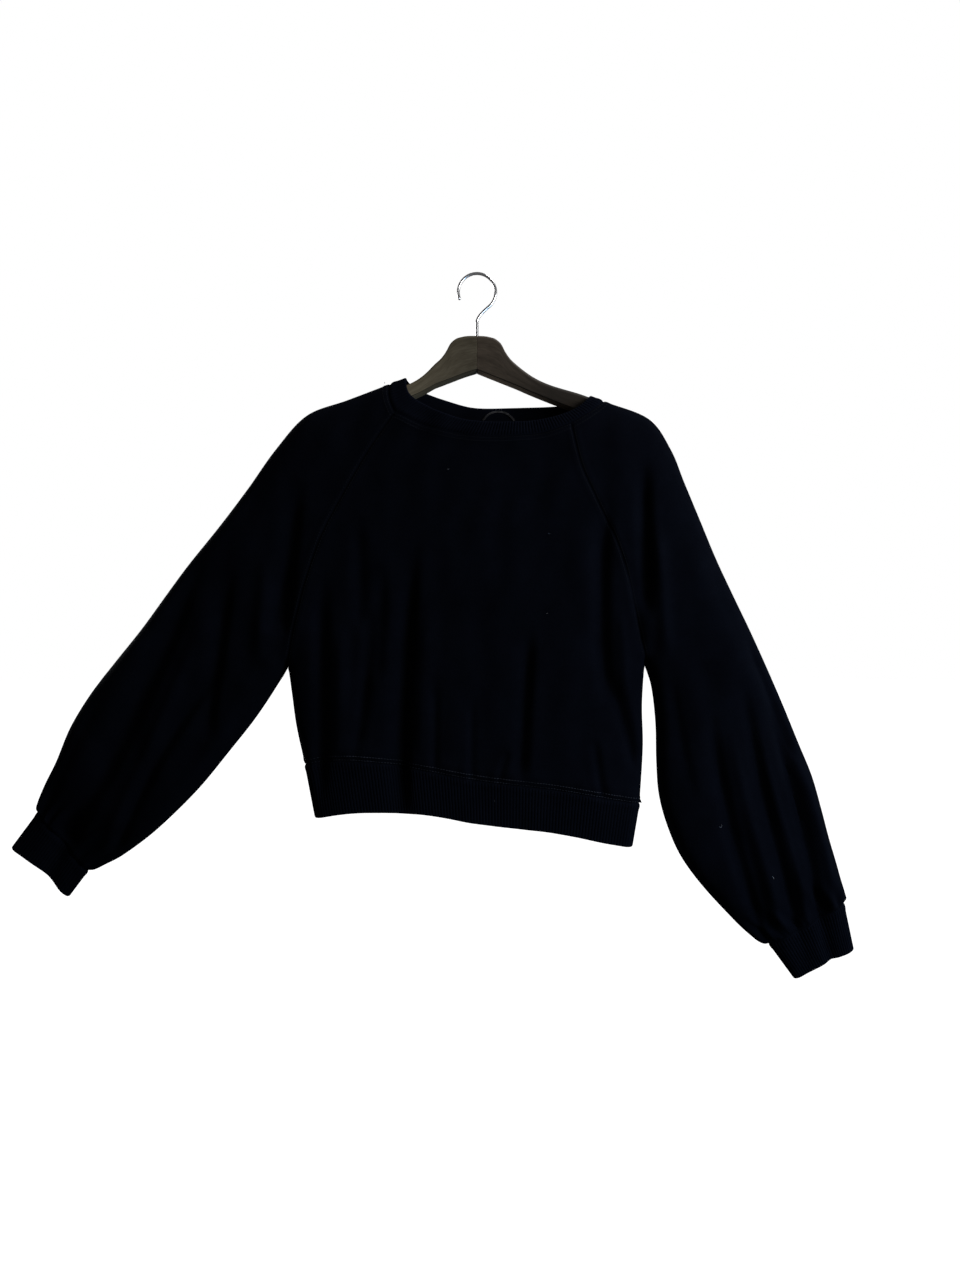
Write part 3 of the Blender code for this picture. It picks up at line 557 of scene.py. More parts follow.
def crumple(plan, side):
    """A sum of long sine waves at odd angles, bent a little by a slower one."""
    bent = plan + BEND * np.sin(plan[:, ::-1] / BEND_LENGTH + BEND_START)
    return CRUMPLE * np.sum(np.sin(bent @ WAVE_DIRECTIONS + WAVE_PHASES[(side + 1) // 2]), axis=1)


def above_hem(plan, side):
    """Height of each point above the hem seam, and whether it lies between the side seams."""
    x, z = plan.T
    seam = HEM_SEAM[side]
    height = z - np.interp(x, seam[:, 0], seam[:, 1])
    (left, left_width), (right, right_width) = BLOUSE_LEFT, BLOUSE_RIGHT
    return height, smooth((x - left) / left_width) * smooth((right - x) / right_width) * (height > 0)


def drape(plan, side):
    """All that lies on the plain form, but for the sunk seams: folds, crumple, blouse and pucker."""
    height, body = above_hem(plan, side)
    blouse = BLOUSE * smooth(height / BLOUSE_START) * bell(height / BLOUSE_HEIGHT)
    wave = np.sin(plan[:, 0] / PUCKER_WAVE + 2.0 * np.sin(plan[:, 0] / PUCKER_DRIFT))
    pucker = PUCKER * wave * smooth(height / PUCKER_START) * bell(height / PUCKER_HEIGHT)
    folds = less_at_cuffs(plan, FOLD_HOLD, FOLD_HOLD_REACH) * fold_height(plan, side)
    return folds + crumple(plan, side) + body * (blouse + pucker)


def seam_height(plan, side):
    """A groove along each seam with a low swell on both sides of it: two bells of the distance."""
    distance = closest(plan, *SEAM_PIECES[side])[2]
    return SEAM_SWELL * bell((distance - SWELL_PLACE) / SWELL_WIDTH) - SEAM_SINK * bell(distance / SEAM_WIDTH)

# %% The cloth's outer skin
EDGE_CURVES = ((11.0, 14.0), (16.0, 60.0))   # (depth it adds, distance from the outline that it takes)
CUFF_FLATNESS = 0.52       # a cuff's depth as a share of the sleeve's
CUFF_FADE = 75.0
DRAPE_FADE = 16.0          # folds fade to nothing over this distance from the outline


def skin(plan, side, edge=False, relief=0.0):
    """Outer points over plan points, and the plain form's outward direction there.

    depth = sum of height x sqrt(s (2 - s)) with s = distance / reach, no more than 1. An edge point lies on
    the outline. Folds, seams and the given relief are added along the plain form's normal.
    """
    shape = plan.shape[:-1]
    plan = plan.reshape(-1, 2)
    side, relief, edge = (np.broadcast_to(given, shape).reshape(-1) for given in (side, relief, edge))
    piece, way, distance = closest(plan, STARTS, STEPS)
    outward = way / np.maximum(distance, 1e-9)[:, None]
    outward[edge] = STEP_NORMALS[piece][edge]
    distance = np.where(edge, 0.0, distance)
    scale = less_at_cuffs(plan, 1.0 - CUFF_FLATNESS, CUFF_FADE)
    depth, slope = np.zeros(len(plan)), np.zeros(len(plan))
    for height, reach in EDGE_CURVES:
        share = np.clip(distance / reach, 1e-6, 1.0)
        root = np.sqrt(share * (2.0 - share))
        depth += scale * height * root
        slope += scale * height / reach * (1.0 - share) / root
    base = unit(np.stack([slope * outward[:, 0], side.astype(float), slope * outward[:, 1]], axis=1))
    fade = smooth(distance / DRAPE_FADE)
    height = np.zeros(len(plan))
    for layer in LAYERS:
        chosen = side == layer
        if chosen.any():
            height[chosen] = drape(plan[chosen], layer) * fade[chosen] + seam_height(plan[chosen], layer)
    points = np.stack([plan[:, 0], side * depth, plan[:, 1]], axis=1) + base * (height + relief)[:, None]
    return points.reshape(*shape, 3), base.reshape(*shape, 3)


def show_depth(x, z):
    """How far the front layer stands out at a plan point, in mm."""
    return round(-float(skin(np.array([[x, z]], float), FRONT)[0][0, 1]), 1)


print("depth in mm at the middle of the body:", show_depth(-10, -420), "and beside its deep fold:",
      show_depth(-79, -500))

# %% [markdown]
# ## From points to a wall of cloth
#
# A piece is a grid of points on the skin. Its inner side is the same grid moved in by the cloth's thickness
# along the grid's own normals, which are the cross product of the two directions of the grid. Four rims
# close the wall, so that nothing is paper thin where one looks into the neck, the cuffs or the hem. A
# Solidify modifier could do that, but here a ribbed band can keep a plain inner side.

# %% Grids and their faces
def grid_normals(points, base, ring):
    """Cross product of the grid's two directions, turned to the side of the plain form's normal."""
    wide = np.concatenate([points[:, -2:-1], points, points[:, 1:2]], axis=1) if ring else points
    across = np.gradient(wide, axis=1)
    across = across[:, 1:-1] if ring else across
    normal = np.cross(np.gradient(points, axis=0), across)
    normal /= np.maximum(np.linalg.norm(normal, axis=2, keepdims=True), 1e-12)
    return normal * np.sign(np.sum(normal * base))


def numbers(rows, columns, ring=False):
    """The numbers of a grid's points, row by row; on a ring the first column comes once more."""
    number = np.arange(rows * columns).reshape(rows, columns)
    return np.hstack([number, number[:, :1]]) if ring else number


def corners(number):
    """The four corners of each cell of a grid of numbers, in turn."""
    cells = number[:-1, :-1], number[:-1, 1:], number[1:, 1:], number[1:, :-1]
    return np.stack(cells, axis=-1).reshape(-1, 4)


def strip(first, second):
    """Cells between two lines of numbers."""
    return corners(np.stack([first, second]))


def tube_faces(number, turned):
    """The cells of a tube and its two end faces, wound the other way where the tube is turned."""
    faces = corners(number).tolist() + [number[0, -2::-1].tolist(), number[-1, :-1].tolist()]
    return [face[::-1] for face in faces] if turned else faces


def pair(first, second):
    """A grid of (first, second), each spread over the other's rows or columns."""
    return np.stack(np.broadcast_arrays(first, second), axis=-1)


print("cells of a ring of 3 by 5 points:", len(corners(numbers(3, 5, ring=True))))

# %% Objects and walls
def new_object(name, vertices, faces, material, cloth_uv=None, sharp=60.0):
    """A smooth-shaded object from points in millimetres, riding on the one body."""
    mesh = bpy.data.meshes.new(name)
    mesh.from_pydata((np.asarray(vertices) * MM).tolist(), [], [tuple(face) for face in faces])
    if cloth_uv is not None:
        layer = mesh.uv_layers.new(name="cloth")
        loops = np.empty(len(mesh.loops), np.int32)
        mesh.loops.foreach_get("vertex_index", loops)
        layer.data.foreach_set("uv", (cloth_uv[loops] * MM).ravel())
    mesh.shade_smooth()
    mesh.set_sharp_from_angle(angle=math.radians(sharp))
    mesh.materials.append(material)
    item = bpy.data.objects.new(name, mesh)
    bpy.context.scene.collection.objects.link(item)
    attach(item, "root")
    return item


def wall(name, outer, base, thickness, material, pattern, ring=False, worn=None, plain=None):
    """A closed wall of cloth from an outer grid; pattern gives each point's place in the cloth, in mm.

    The inner side is the plain grid, or else the outer one, moved in by the thickness.
    """
    plain = outer if plain is None else plain
    inner = plain - thickness * grid_normals(plain, base, ring)
    rows, columns = outer.shape[:2]
    kept = columns - 1 if ring else columns
    number = numbers(rows, kept, ring)
    other = number + rows * kept
    faces = [corners(number), corners(other)[:, ::-1],
             strip(other[0], number[0]), strip(number[-1], other[-1])]
    if not ring:
        faces += [strip(number[:, 0], other[:, 0]), strip(other[:, -1], number[:, -1])]
    corner, aside, ahead = outer[0, 0], outer[0, 1], outer[1, 0]
    if np.dot(np.cross(aside - corner, ahead - corner), corner - inner[0, 0]) < 0:
        faces = [part[:, ::-1] for part in faces]
    vertices = np.concatenate([outer[:, :kept].reshape(-1, 3), inner[:, :kept].reshape(-1, 3)])
    places = np.tile(pattern[:, :kept].reshape(-1, 2), (2, 1))
    item = new_object(name, vertices, np.concatenate(faces), material, places)
    if worn is not None:
        layer = item.data.attributes.new("worn", "FLOAT", "POINT")
        layer.data.foreach_set("value", np.tile(worn[:, :kept].reshape(-1), 2).astype(np.float32))
    return item


def report(item):
    """The size of a piece's mesh, in triangles."""
    print(f"{item.name}: {sum(len(face.vertices) - 2 for face in item.data.polygons)} triangles")


def stands_for(node, item):
    """The piece, shown in place of a solid."""
    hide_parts(node)
    report(item)
    return item

# %% [markdown]
# ## Black fleece
#
# Sweatshirt fabric is a plain knit outside: fine columns of V stitches, a bit over a millimetre apart, with
# a faint bloom of loose fibres. The navy is so deep that only the sheen of those fibres shows the folds.
# Real loops of yarn would take millions of faces, so the knit is a bump. It is drawn on the cloth's own
# pattern map and follows the grain of each piece, and slow noise varies the dye.

# %% New materials
def material_nodes(name):
    """A new material, a maker of its nodes, and a setter of its Principled shader's sockets.

    A keyword names a socket, with _ for a space, or is i and the socket's number. Its value is a constant
    or another node's socket.
    """
    material = bpy.data.materials.new(name)
    material.use_nodes = True
    tree = material.node_tree

    def fill(node, inputs):
        for key, value in inputs.items():
            socket = node.inputs[int(key[1:]) if key[1:].isdigit() else key.replace("_", " ")]
            if isinstance(value, bpy.types.NodeSocket):
                tree.links.new(value, socket)
            else:
                socket.default_value = value
        return node

    def add(kind, settings=None, **inputs):
        node = tree.nodes.new("ShaderNode" + kind)
        for key, value in (settings or {}).items():
            setattr(node, key, value)
        return fill(node, inputs)

    def surface(**inputs):
        fill(tree.nodes["Principled BSDF"], inputs)

    return material, add, surface

# %% Nodes in a maker's words
def object_place(add):
    """Places in the object's own coordinates, in metres."""
    return add("TexCoord").outputs["Object"]


def cloth_place(add):
    """Places on the piece's own pattern map, in metres."""
    return add("UVMap", {"uv_map": "cloth"}).outputs["UV"]


def noise(add, place, scale, **inputs):
    """A noise texture's grey value."""
    return add("TexNoise", Vector=place, Scale=scale, **inputs).outputs["Fac"]


def calculate(add, operation, first, second=0.0):
    """One sum, product or other operation on two values."""
    return add("Math", {"operation": operation}, i0=first, i1=second).outputs[0]


def mapped(add, value, start, stop, first, last):
    """A value that goes from first to last while the given one goes from start to stop."""
    return add("MapRange", Value=value, i1=start, i2=stop, i3=first, i4=last).outputs[0]


def mixed(add, share, first, second):
    """The first value x (1 - share) + the second x share."""
    return add("Mix", i0=share, i2=first, i3=second).outputs[0]


def tint(add, share, first, second, blend="MIX"):
    """The first colour blended with the second by a share."""
    return add("Mix", {"data_type": "RGBA", "blend_type": blend}, i0=share, i6=first, i7=second).outputs[2]


def bump(add, height, strength, distance):
    """The shading normal of a fine relief."""
    return add("Bump", Height=height, Strength=strength, Distance=distance).outputs["Normal"]


def ramp(add, source, stops):
    """A colour ramp through (place, colour) stops."""
    node = add("ValToRGB", Fac=source)
    elements = node.color_ramp.elements
    while len(elements) < len(stops):
        elements.new(0.5)
    for element, (place, colour) in zip(elements, stops):
        element.position = place
        element.color = (*colour, 1.0)
    return node.outputs["Color"]

# %% The fleece and the rib knit
FLEECE_WALE, RIB_WALE = 1.25e-3, 1.0e-3   # width of a column of stitches, in metres
COURSE = 0.42              # half the height of a stitch, in columns
COLUMN_DEPTH, FUZZ = 1.6, 0.7   # of the valleys between columns and of the loose fibres
DYE = np.array((0.00089, 0.00115, 0.00212))
DARK_DYE, LIGHT_DYE, FADED = 0.84 * DYE, 1.18 * DYE, 3.2 * DYE
BLACK, WHITE = (0.0, 0.0, 0.0), (1.0, 1.0, 1.0)


def knit_cloth(name, wale, relief, lightness):
    """Dark cotton knit: noise in the dye, rare pale fibres and worn edges, and V stitches as a bump.

    With c = pingpong(x, half a column), a stitch is pingpong(y + c, its half height) + 1.6c, and fuzz.
    """
    material, add, surface = material_nodes(name)
    place = cloth_place(add)
    cloud = noise(add, object_place(add), 24.0, Detail=6.0, Roughness=0.7)
    colour = ramp(add, cloud, ((0.34, lightness * DARK_DYE), (0.68, lightness * LIGHT_DYE)))
    fibre = ramp(add, noise(add, place, 900.0, Detail=2.0, Roughness=0.5), ((0.70, BLACK), (0.80, WHITE)))
    worn = add("Attribute", {"attribute_name": "worn"}).outputs["Fac"]
    for share in (fibre, worn):
        colour = tint(add, share, colour, (*FADED, 1.0))
    split = add("SeparateXYZ", Vector=place).outputs
    column = calculate(add, "PINGPONG", split["X"], wale / 2)
    course = calculate(add, "PINGPONG", calculate(add, "ADD", split["Y"], column), wale * COURSE)
    stitch = calculate(add, "ADD", course, calculate(add, "MULTIPLY", column, COLUMN_DEPTH))
    fuzz = noise(add, place, 2600.0, Detail=3.0, Roughness=0.7)
    height = calculate(add, "ADD", stitch, calculate(add, "MULTIPLY", fuzz, wale * FUZZ))
    surface(Base_Color=colour, Normal=bump(add, height, relief, 0.5), Roughness=0.92,
            Specular_IOR_Level=0.004, Sheen_Weight=0.003, Sheen_Roughness=0.45,
            Sheen_Tint=(0.55, 0.62, 0.85, 1.0))
    return material


FLEECE = knit_cloth("black fleece", FLEECE_WALE, 0.55, 1.0)
RIB = knit_cloth("black rib knit", RIB_WALE, 0.45, 1.22)
print("materials:", FLEECE.name, "and", RIB.name)

# %% [markdown]
# ## The body
#
# Front and back are one panel each. Rows of the grid run up from the hem seam, first between the side seams
# and above the armpits between the raglan seams. The first rows bend to the hem's line and the last to the
# neck's. One grid for a panel is simpler than a cut mesh, and its rows and columns follow the knit.

# %% Body panels
CLOTH = 1.3                # thickness of the fleece
STEP = 3.0                 # grid step in the middle of a piece
BODY_LENGTH, ARMHOLE_LENGTH, BODY_WIDTH = 165.0, 320.0, 434.0
BODY_SHARE, ARMHOLE_SHARE = 6.0 / 17.0, 11.0 / 17.0   # of a panel's height
HEM_REACH = 8.0 / 17.0     # share of the way up over which the hem's line straightens out
BELOW = spaced(BODY_LENGTH, STEP, fine_end=False)
ABOVE = spaced(ARMHOLE_LENGTH, STEP, fine_start=False)


def spread(first, last, share):
    """A grid of points: each row runs straight from a point of the first line to one of the last."""
    return first[:, None] + (last - first)[:, None] * share[None, :, None]


def body_panel(name, side):
    """Rows between two edges; the hem's and the neck's bends fade out as 3v^2 - 2v^3 and as v^2."""
    sides = sections(BODY_SIDES, 0, len(BODY_SIDES) - 1, 1.0 - BELOW)
    left = np.vstack([sides[:, TOP], raglan(True, side, 1.0 - ABOVE)[1:]])
    right = np.vstack([sides[:, LOW], raglan(False, side, 1.0 - ABOVE)[1:]])
    share = spaced(BODY_WIDTH, STEP)
    plan = spread(left, right, share)
    climb = np.concatenate([BELOW * BODY_SHARE, BODY_SHARE + ABOVE[1:] * ARMHOLE_SHARE])
    up = np.concatenate([np.zeros(len(BELOW)), ABOVE[1:]])
    hem_bend = (hem_line(0, side, share) - plan[0]) * smooth(1.0 - climb / HEM_REACH)[:, None, None]
    neck_bend = (neck_line(side, share) - plan[-1]) * (up ** 2)[:, None, None]
    plan = plan + hem_bend + neck_bend
    edge = np.zeros(plan.shape[:2], bool)
    edge[:len(BELOW), (0, -1)] = True
    outer, base = skin(plan, side, edge)
    return wall(name, outer, base, CLOTH, FLEECE, plan)


front = stands_for("front_panel", body_panel("front", FRONT))
back = stands_for("back_panel", body_panel("back", BACK))

# %% [markdown]
# ## The sleeves
#
# A raglan sleeve is one piece that runs right up to the neck. It folds over the top of the arm and closes
# under it with a seam. At the cuff its width is gathered into a band half as wide, which makes small puffs
# that stand up from the seam and run out into the sleeve's long folds. They go round the sleeve, so they are
# waves on the grid's own places and not rows of the table of folds.

# %% Sleeves
GATHERS, GATHER_HEIGHT = 13, 2.3
GATHER_PEAK, GATHER_SPREAD, GATHER_START = 16.0, 26.0, 11.0   # distances from the cuff
TUCKS, TUCK_HEIGHT = 41, 0.7   # the smallest pleats, right at the seam
TUCK_PEAK, TUCK_SPREAD, TUCK_START = 5.0, 7.0, 2.5
PUFF = 2.6                 # how far the gathered cloth stands out over the cuff
PUFF_START, PUFF_REACH = 7.0, 24.0
SLEEVE_WIDTH = 150.0
BOW_FADE = 11.0 / 4.0      # how fast the neck seam's bow fades down the armhole


def gather_height(to_cuff, around):
    """Gathers, tucks and the puff round a sleeve's end: each a bell of the distance to the cuff.

    Gathers and tucks are waves of whole numbers of turns, and slower waves make them uneven.
    """
    turn = 2 * math.pi * around
    swell = bell((to_cuff - GATHER_PEAK) / GATHER_SPREAD) * smooth(to_cuff / GATHER_START)
    uneven = 1.0 + 0.5 * np.sin(3 * turn + 0.8) + 0.3 * np.sin(7 * turn)
    bend = 1.3 * np.sin(2 * turn) + 0.8 * np.sin(5 * turn + to_cuff / 30.0)
    gathers = GATHER_HEIGHT * swell * uneven * np.cos(GATHERS * turn + bend)
    close = bell((to_cuff - TUCK_PEAK) / TUCK_SPREAD) * smooth(to_cuff / TUCK_START)
    tucks = TUCK_HEIGHT * close * np.sin(TUCKS * turn + 2.0 * np.sin(6 * turn))
    return gathers + tucks + PUFF * smooth(to_cuff / PUFF_START) * bell(to_cuff / PUFF_REACH)


def sleeve(name, left):
    """Rows from the neck to the cuff; each runs from the front edge over the top fold to the back edge.

    A half row is top + share x (low - top), and near the neck the seam's bow is added.
    """
    table = LEFT_SLEEVE if left else RIGHT_SLEEVE
    last = len(table) - 1
    closed_length = lengths(middle_of(curve(table, np.linspace(ARMPIT_ROW, last, 200))))[-1]
    down = spaced(closed_length, STEP, fine_start=False)
    fall = 1.0 - ABOVE[::-1]
    open_rows = len(fall) - 1
    rows = np.vstack([sections(table, 0, ARMPIT_ROW, fall)[:-1], sections(table, ARMPIT_ROW, last, down)])
    to_cuff = np.concatenate([np.full(open_rows, closed_length), closed_length * (1.0 - down)])
    bow = np.zeros(len(rows))
    bow[:len(fall)] = np.maximum(0.0, 1.0 - fall * BOW_FADE) ** 2
    share = spaced(SLEEVE_WIDTH, STEP)
    count = len(share)
    halves = []
    for side in LAYERS:
        low = np.vstack([raglan(left, side, fall)[:-1], rows[open_rows:, LOW]])
        halves.append(spread(rows[:, TOP], low, share) + neck_bow(left, share)[None] * bow[:, None, None])
    plan = np.concatenate([halves[0][:, ::-1], halves[1][:, 1:]], axis=1)
    edge = np.zeros(plan.shape[:2], bool)
    edge[:, count - 1] = True
    edge[open_rows:, (0, -1)] = True
    around = np.concatenate([-share[::-1], share[1:]])
    relief = gather_height(to_cuff[:, None], (around / 2 + 0.5)[None])
    outer, base = skin(plan, np.repeat(LAYERS, (count, count - 1)), edge, relief)
    width = np.linalg.norm(rows[:, TOP] - rows[:, LOW], axis=1)
    pattern = pair(around[None] * width[:, None], -lengths(middle_of(rows))[:, None])
    return wall(name, outer, base, CLOTH, FLEECE, pattern)


sleeve_left = stands_for("left_sleeve", sleeve("sleeve_left", True))
sleeve_right = stands_for("right_sleeve", sleeve("sleeve_right", False))

# %% [markdown]
# ## The ribbed bands
#
# Neck, hem and cuffs are a rib knit, folded double and sewn on along its two raw edges. The ribs are round
# cords about 3.8 mm apart with a narrow valley between them: the square root of a cosine has that shape. A
# bump could only shade them, but here they also notch the free edge, so they are in the mesh. The free edge
# is a fold, so it is rounded, and that is where the dye has worn a little.

# %% Ribbed bands
RIB_PITCH, RIB_HEIGHT, RIB_THICKNESS = 3.8, 0.95, 2.2
RIB_POINTS = 6             # grid columns for each rib
RIB_START = 2.5            # from the seam, the length over which the ribs rise
BAND_STEP = STEP * 1.6
TUCKED_IN, SEAM_DROP = 1.2, 1.3   # how far the band runs under its seam, and its drop for each mm of that
EDGE_ROUND, EDGE_DROP = 1.6, 0.45   # length of the rounded edge, and its drop as a share of the thickness
EDGE_SMOOTHED = 0.75       # how much of the ribs the edge takes out
WORN, WORN_REACH = 0.35, 2.2   # share of faded dye at the free edge, and how far in it reaches


def ring_plan(lines, places):
    """Plan points round a band, their layer and which lie on the outline; share = (1 - cos turn) / 2."""
    share = (1.0 - np.cos(2 * math.pi * places)) / 2
    front_layer = places < 0.5
    plan = np.where(front_layer[:, None], read_line(lines[FRONT], share), read_line(lines[BACK], share))
    return plan, np.where(front_layer, FRONT, BACK), (share < 1e-7) | (share > 1.0 - 1e-7)


def band(name, seam, free):
    """A ribbed ring between a seam and a free edge, each a pair of front and back lines.

    A rib is the square root of |cos|, and the free edge falls away as a quarter circle.
    """
    fine = np.linspace(0.0, 1.0, 801)
    along = lengths(skin(*ring_plan(seam, fine))[0])
    ribs = round(along[-1] / RIB_PITCH)
    around = np.linspace(0.0, along[-1], ribs * RIB_POINTS + 1)
    places = np.interp(around, along, fine)
    start, side, edge = ring_plan(seam, places)
    way = ring_plan(free, places)[0] - start
    depth = float(np.median(np.linalg.norm(way, axis=1)))
    share = spaced(depth, BAND_STEP)
    sunk = start - way * TUCKED_IN / depth
    plan = np.concatenate([sunk[None], start[None] + way[None] * share[:, None, None]])
    from_edge = np.concatenate([[depth], depth * (1.0 - share)])
    turned = np.clip(1.0 - from_edge / EDGE_ROUND, 0.0, 1.0)
    drop = -EDGE_DROP * RIB_THICKNESS * (1.0 - np.sqrt(1.0 - turned * turned))
    drop[0] = -TUCKED_IN * SEAM_DROP
    cord = np.sqrt(np.abs(np.cos(math.pi * np.arange(len(places)) / RIB_POINTS)))
    rise = smooth(np.concatenate([[0.0], depth * share]) / RIB_START) * (1.0 - EDGE_SMOOTHED * turned)
    relief = drop[:, None] + (rise[:, None] * (cord - 0.5)[None]) * RIB_HEIGHT
    outer, base = skin(plan, side, edge, relief)
    plain = skin(plan, side, edge, drop[:, None])[0]
    pattern = pair(around[None], np.concatenate([[-TUCKED_IN], depth * share])[:, None])
    worn = WORN * np.exp(-from_edge / WORN_REACH)[:, None] * (0.6 + 0.4 * cord)
    print(f"{name}: {ribs} ribs, {depth:.0f} mm deep")
    return wall(name, outer, base, RIB_THICKNESS, RIB, pattern, ring=True, worn=worn, plain=plain)

# %% The four bands
def cuff_line(table, row, hollow):
    """A cuff's seam (row 0) or free edge (row 1), drawn in by hollow x sin(180 deg x share)."""
    seam, end = middle_of(table)
    line = straight(table[row, TOP], table[row, LOW], EVEN)
    return line + unit(seam - end) * (hollow * np.sin(math.pi * EVEN))[:, None]


def cuff_band(name, table, front_hollow, back_hollow):
    """A cuff whose free edge is hollow by the two amounts."""
    return band(name, {side: cuff_line(table, 0, 0.0) for side in LAYERS},
                {FRONT: cuff_line(table, 1, front_hollow), BACK: cuff_line(table, 1, back_hollow)})


hem = stands_for("hem_band", band("hem", HEM_SEAM, {side: hem_line(1, side, EVEN) for side in LAYERS}))
neck = stands_for("neck_band", band("neck", NECK_SEAM, {side: neck_edge(side) for side in LAYERS}))
cuff_left = stands_for("left_cuff", cuff_band("cuff_left", LEFT_CUFF, 6.5, 3.0))
cuff_right = stands_for("right_cuff", cuff_band("cuff_right", RIGHT_CUFF, 4.5, 3.0))

# %% [markdown]
# ## Cover stitching
#
# Two rows of black thread run beside the hem seam and the neck seam, and one on each side of every raglan
# seam; the hem's thread is lightened, as painted highlight where its stitches catch light from above. Each
# stitch is a little spindle that lies on the cloth. Copies of an object could be set out one by one, but here
# all the stitches of one kind of seam are one mesh: the spindle's points are turned by each stitch's own
# three directions in a single array product.

# %% Stitches
STITCH_PITCH = 3.4
STITCH = np.array((1.35, 0.42, 0.32))   # half its length, width and height
STITCH_LIFT, PROBE = 0.12, 0.4   # above the cloth, and the step that finds the cloth's slope
SPINDLE_SIDES = 5
SPINDLE_RINGS = ((-0.65, 0.85), (0.0, 1.0), (0.65, 0.85))   # place and radius

angles = np.arange(SPINDLE_SIDES) * 2 * math.pi / SPINDLE_SIDES
SPINDLE = np.vstack([
    [[-1.0, 0.0, 0.0]],
    *(np.stack([np.full(SPINDLE_SIDES, place), size * np.cos(angles), size * np.sin(angles)], axis=1)
      for place, size in SPINDLE_RINGS),
    [[1.0, 0.0, 0.0]],
])
ring_number = 1 + numbers(len(SPINDLE_RINGS), SPINDLE_SIDES, ring=True)
SPINDLE_QUADS = corners(ring_number)
SPINDLE_TIPS = np.vstack([
    np.stack([np.full(SPINDLE_SIDES, 0), ring_number[0, 1:], ring_number[0, :-1]], axis=1),
    np.stack([np.full(SPINDLE_SIDES, len(SPINDLE) - 1), ring_number[-1, :-1], ring_number[-1, 1:]], axis=1),
])

# %% Runs of stitches
def stitch_places(line, side, offset):
    """Places, directions and normals of stitches beside a plan line, at an even pitch.

    The direction is a small step along the cloth, and the normal is that step x one to its left.
    """
    line = beside(line, offset)
    count = int(lengths(line)[-1] / STITCH_PITCH)
    plan = read_line(line, (np.arange(count) + 0.5) / count)
    step = unit(np.gradient(plan, axis=0))
    middle, base = skin(plan, side)
    ahead = unit(skin(plan + PROBE * step, side)[0] - middle)
    normal = unit(np.cross(ahead, skin(plan + PROBE * left_of(step), side)[0] - middle))
    normal *= np.sign(np.sum(normal * base, axis=1, keepdims=True))
    return middle + STITCH_LIFT * normal, ahead, normal


def stitching(name, runs, material):
    """All the runs of stitches as one mesh."""
    found = [stitch_places(*run) for run in runs]
    middle, ahead, normal = (np.concatenate(part) for part in zip(*found))
    frames = np.stack([ahead, np.cross(normal, ahead), normal], axis=1)
    points = middle[:, None] + (SPINDLE * STITCH) @ frames
    shift = np.arange(len(middle))[:, None, None] * len(SPINDLE)
    faces = (SPINDLE_QUADS + shift).reshape(-1, 4).tolist() + (SPINDLE_TIPS + shift).reshape(-1, 3).tolist()
    item = new_object(name, points.reshape(-1, 3), faces, material)
    print(f"{name}: {len(middle)} stitches")
    return item

# %% The seams' threads
def thread_material(name, colour):
    """Thread whose tone varies with its twist and in slow patches; the twist is also a fine bump."""
    material, add, surface = material_nodes(name)
    place = object_place(add)
    twist = noise(add, place, 1800.0, Detail=2.0)
    thread_tone = mixed(add, 0.75, twist, noise(add, place, 22.0))
    surface(Base_Color=ramp(add, thread_tone, ((0.4, 0.5 * colour), (0.6, 1.5 * colour))),
            Normal=bump(add, twist, 0.4, 0.0004), Roughness=0.6, Specular_IOR_Level=0.03)
    return material


def rows_beside(seam, offsets):
    """A run of stitches at each offset from a seam's two layers."""
    return [(seam[side], side, offset) for side in LAYERS for offset in offsets]


THREAD = thread_material("black thread", DYE)
# The hem's thread is about nine times lighter than the cloth's dye: painted highlight where its stitches
# catch light from above.
HEM_THREAD_HIGHLIGHTED = thread_material("hem thread lightened as painted highlight", np.array((0.0085, 0.0092, 0.0120)))
hem_stitches = stitching("hem_stitches", rows_beside(HEM_SEAM, (1.8, 6.4)), HEM_THREAD_HIGHLIGHTED)
neck_stitches = stitching("neck_stitches", rows_beside(NECK_SEAM, (-2.4, -6.6)), THREAD)
raglan_runs = [run for left in (True, False)
               for run in rows_beside({side: RAGLAN[left, side][1:-1] for side in LAYERS}, (-2.4, 2.4))]
raglan_stitches = stitching("raglan_stitches", raglan_runs, THREAD)

# %% [markdown]
# ## The tape loop
#
# A small arch of pale tape stands inside the back neck. It is a flat ribbon with a woven face. A curve with a
# flat profile could draw it, but a grid can lie on the inside of the band. The arch falls by the 2.5th power
# of the way out, a little squarer than a parabola.

# %% The loop
LOOP_MIDDLE = (27.0, -161.2)
LOOP_HALF_SPAN, LOOP_DROP, LOOP_POWER = 19.5, 10.8, 2.5
LOOP_WIDTH, LOOP_THICKNESS = 2.3, 0.8
LOOP_CLEARANCE = 0.5
WARP, WEFT = 0.00045, 0.0003   # half of each thread's pitch, in metres


def woven_tape(name):
    """Grey tape: pingpong across both threads as a bump, and slow noise in the colour."""
    material, add, surface = material_nodes(name)
    split = add("SeparateXYZ", Vector=cloth_place(add)).outputs
    threads = [calculate(add, "PINGPONG", split[axis], half) for axis, half in (("X", WARP), ("Y", WEFT))]
    cloud = noise(add, object_place(add), 300.0)
    surface(Base_Color=ramp(add, cloud, ((0.35, (0.003, 0.003, 0.0035)), (0.65, (0.018, 0.018, 0.020)))),
            Normal=bump(add, calculate(add, "ADD", *threads), 0.8, 1.0),
            Roughness=0.7, Specular_IOR_Level=0.1)
    return material


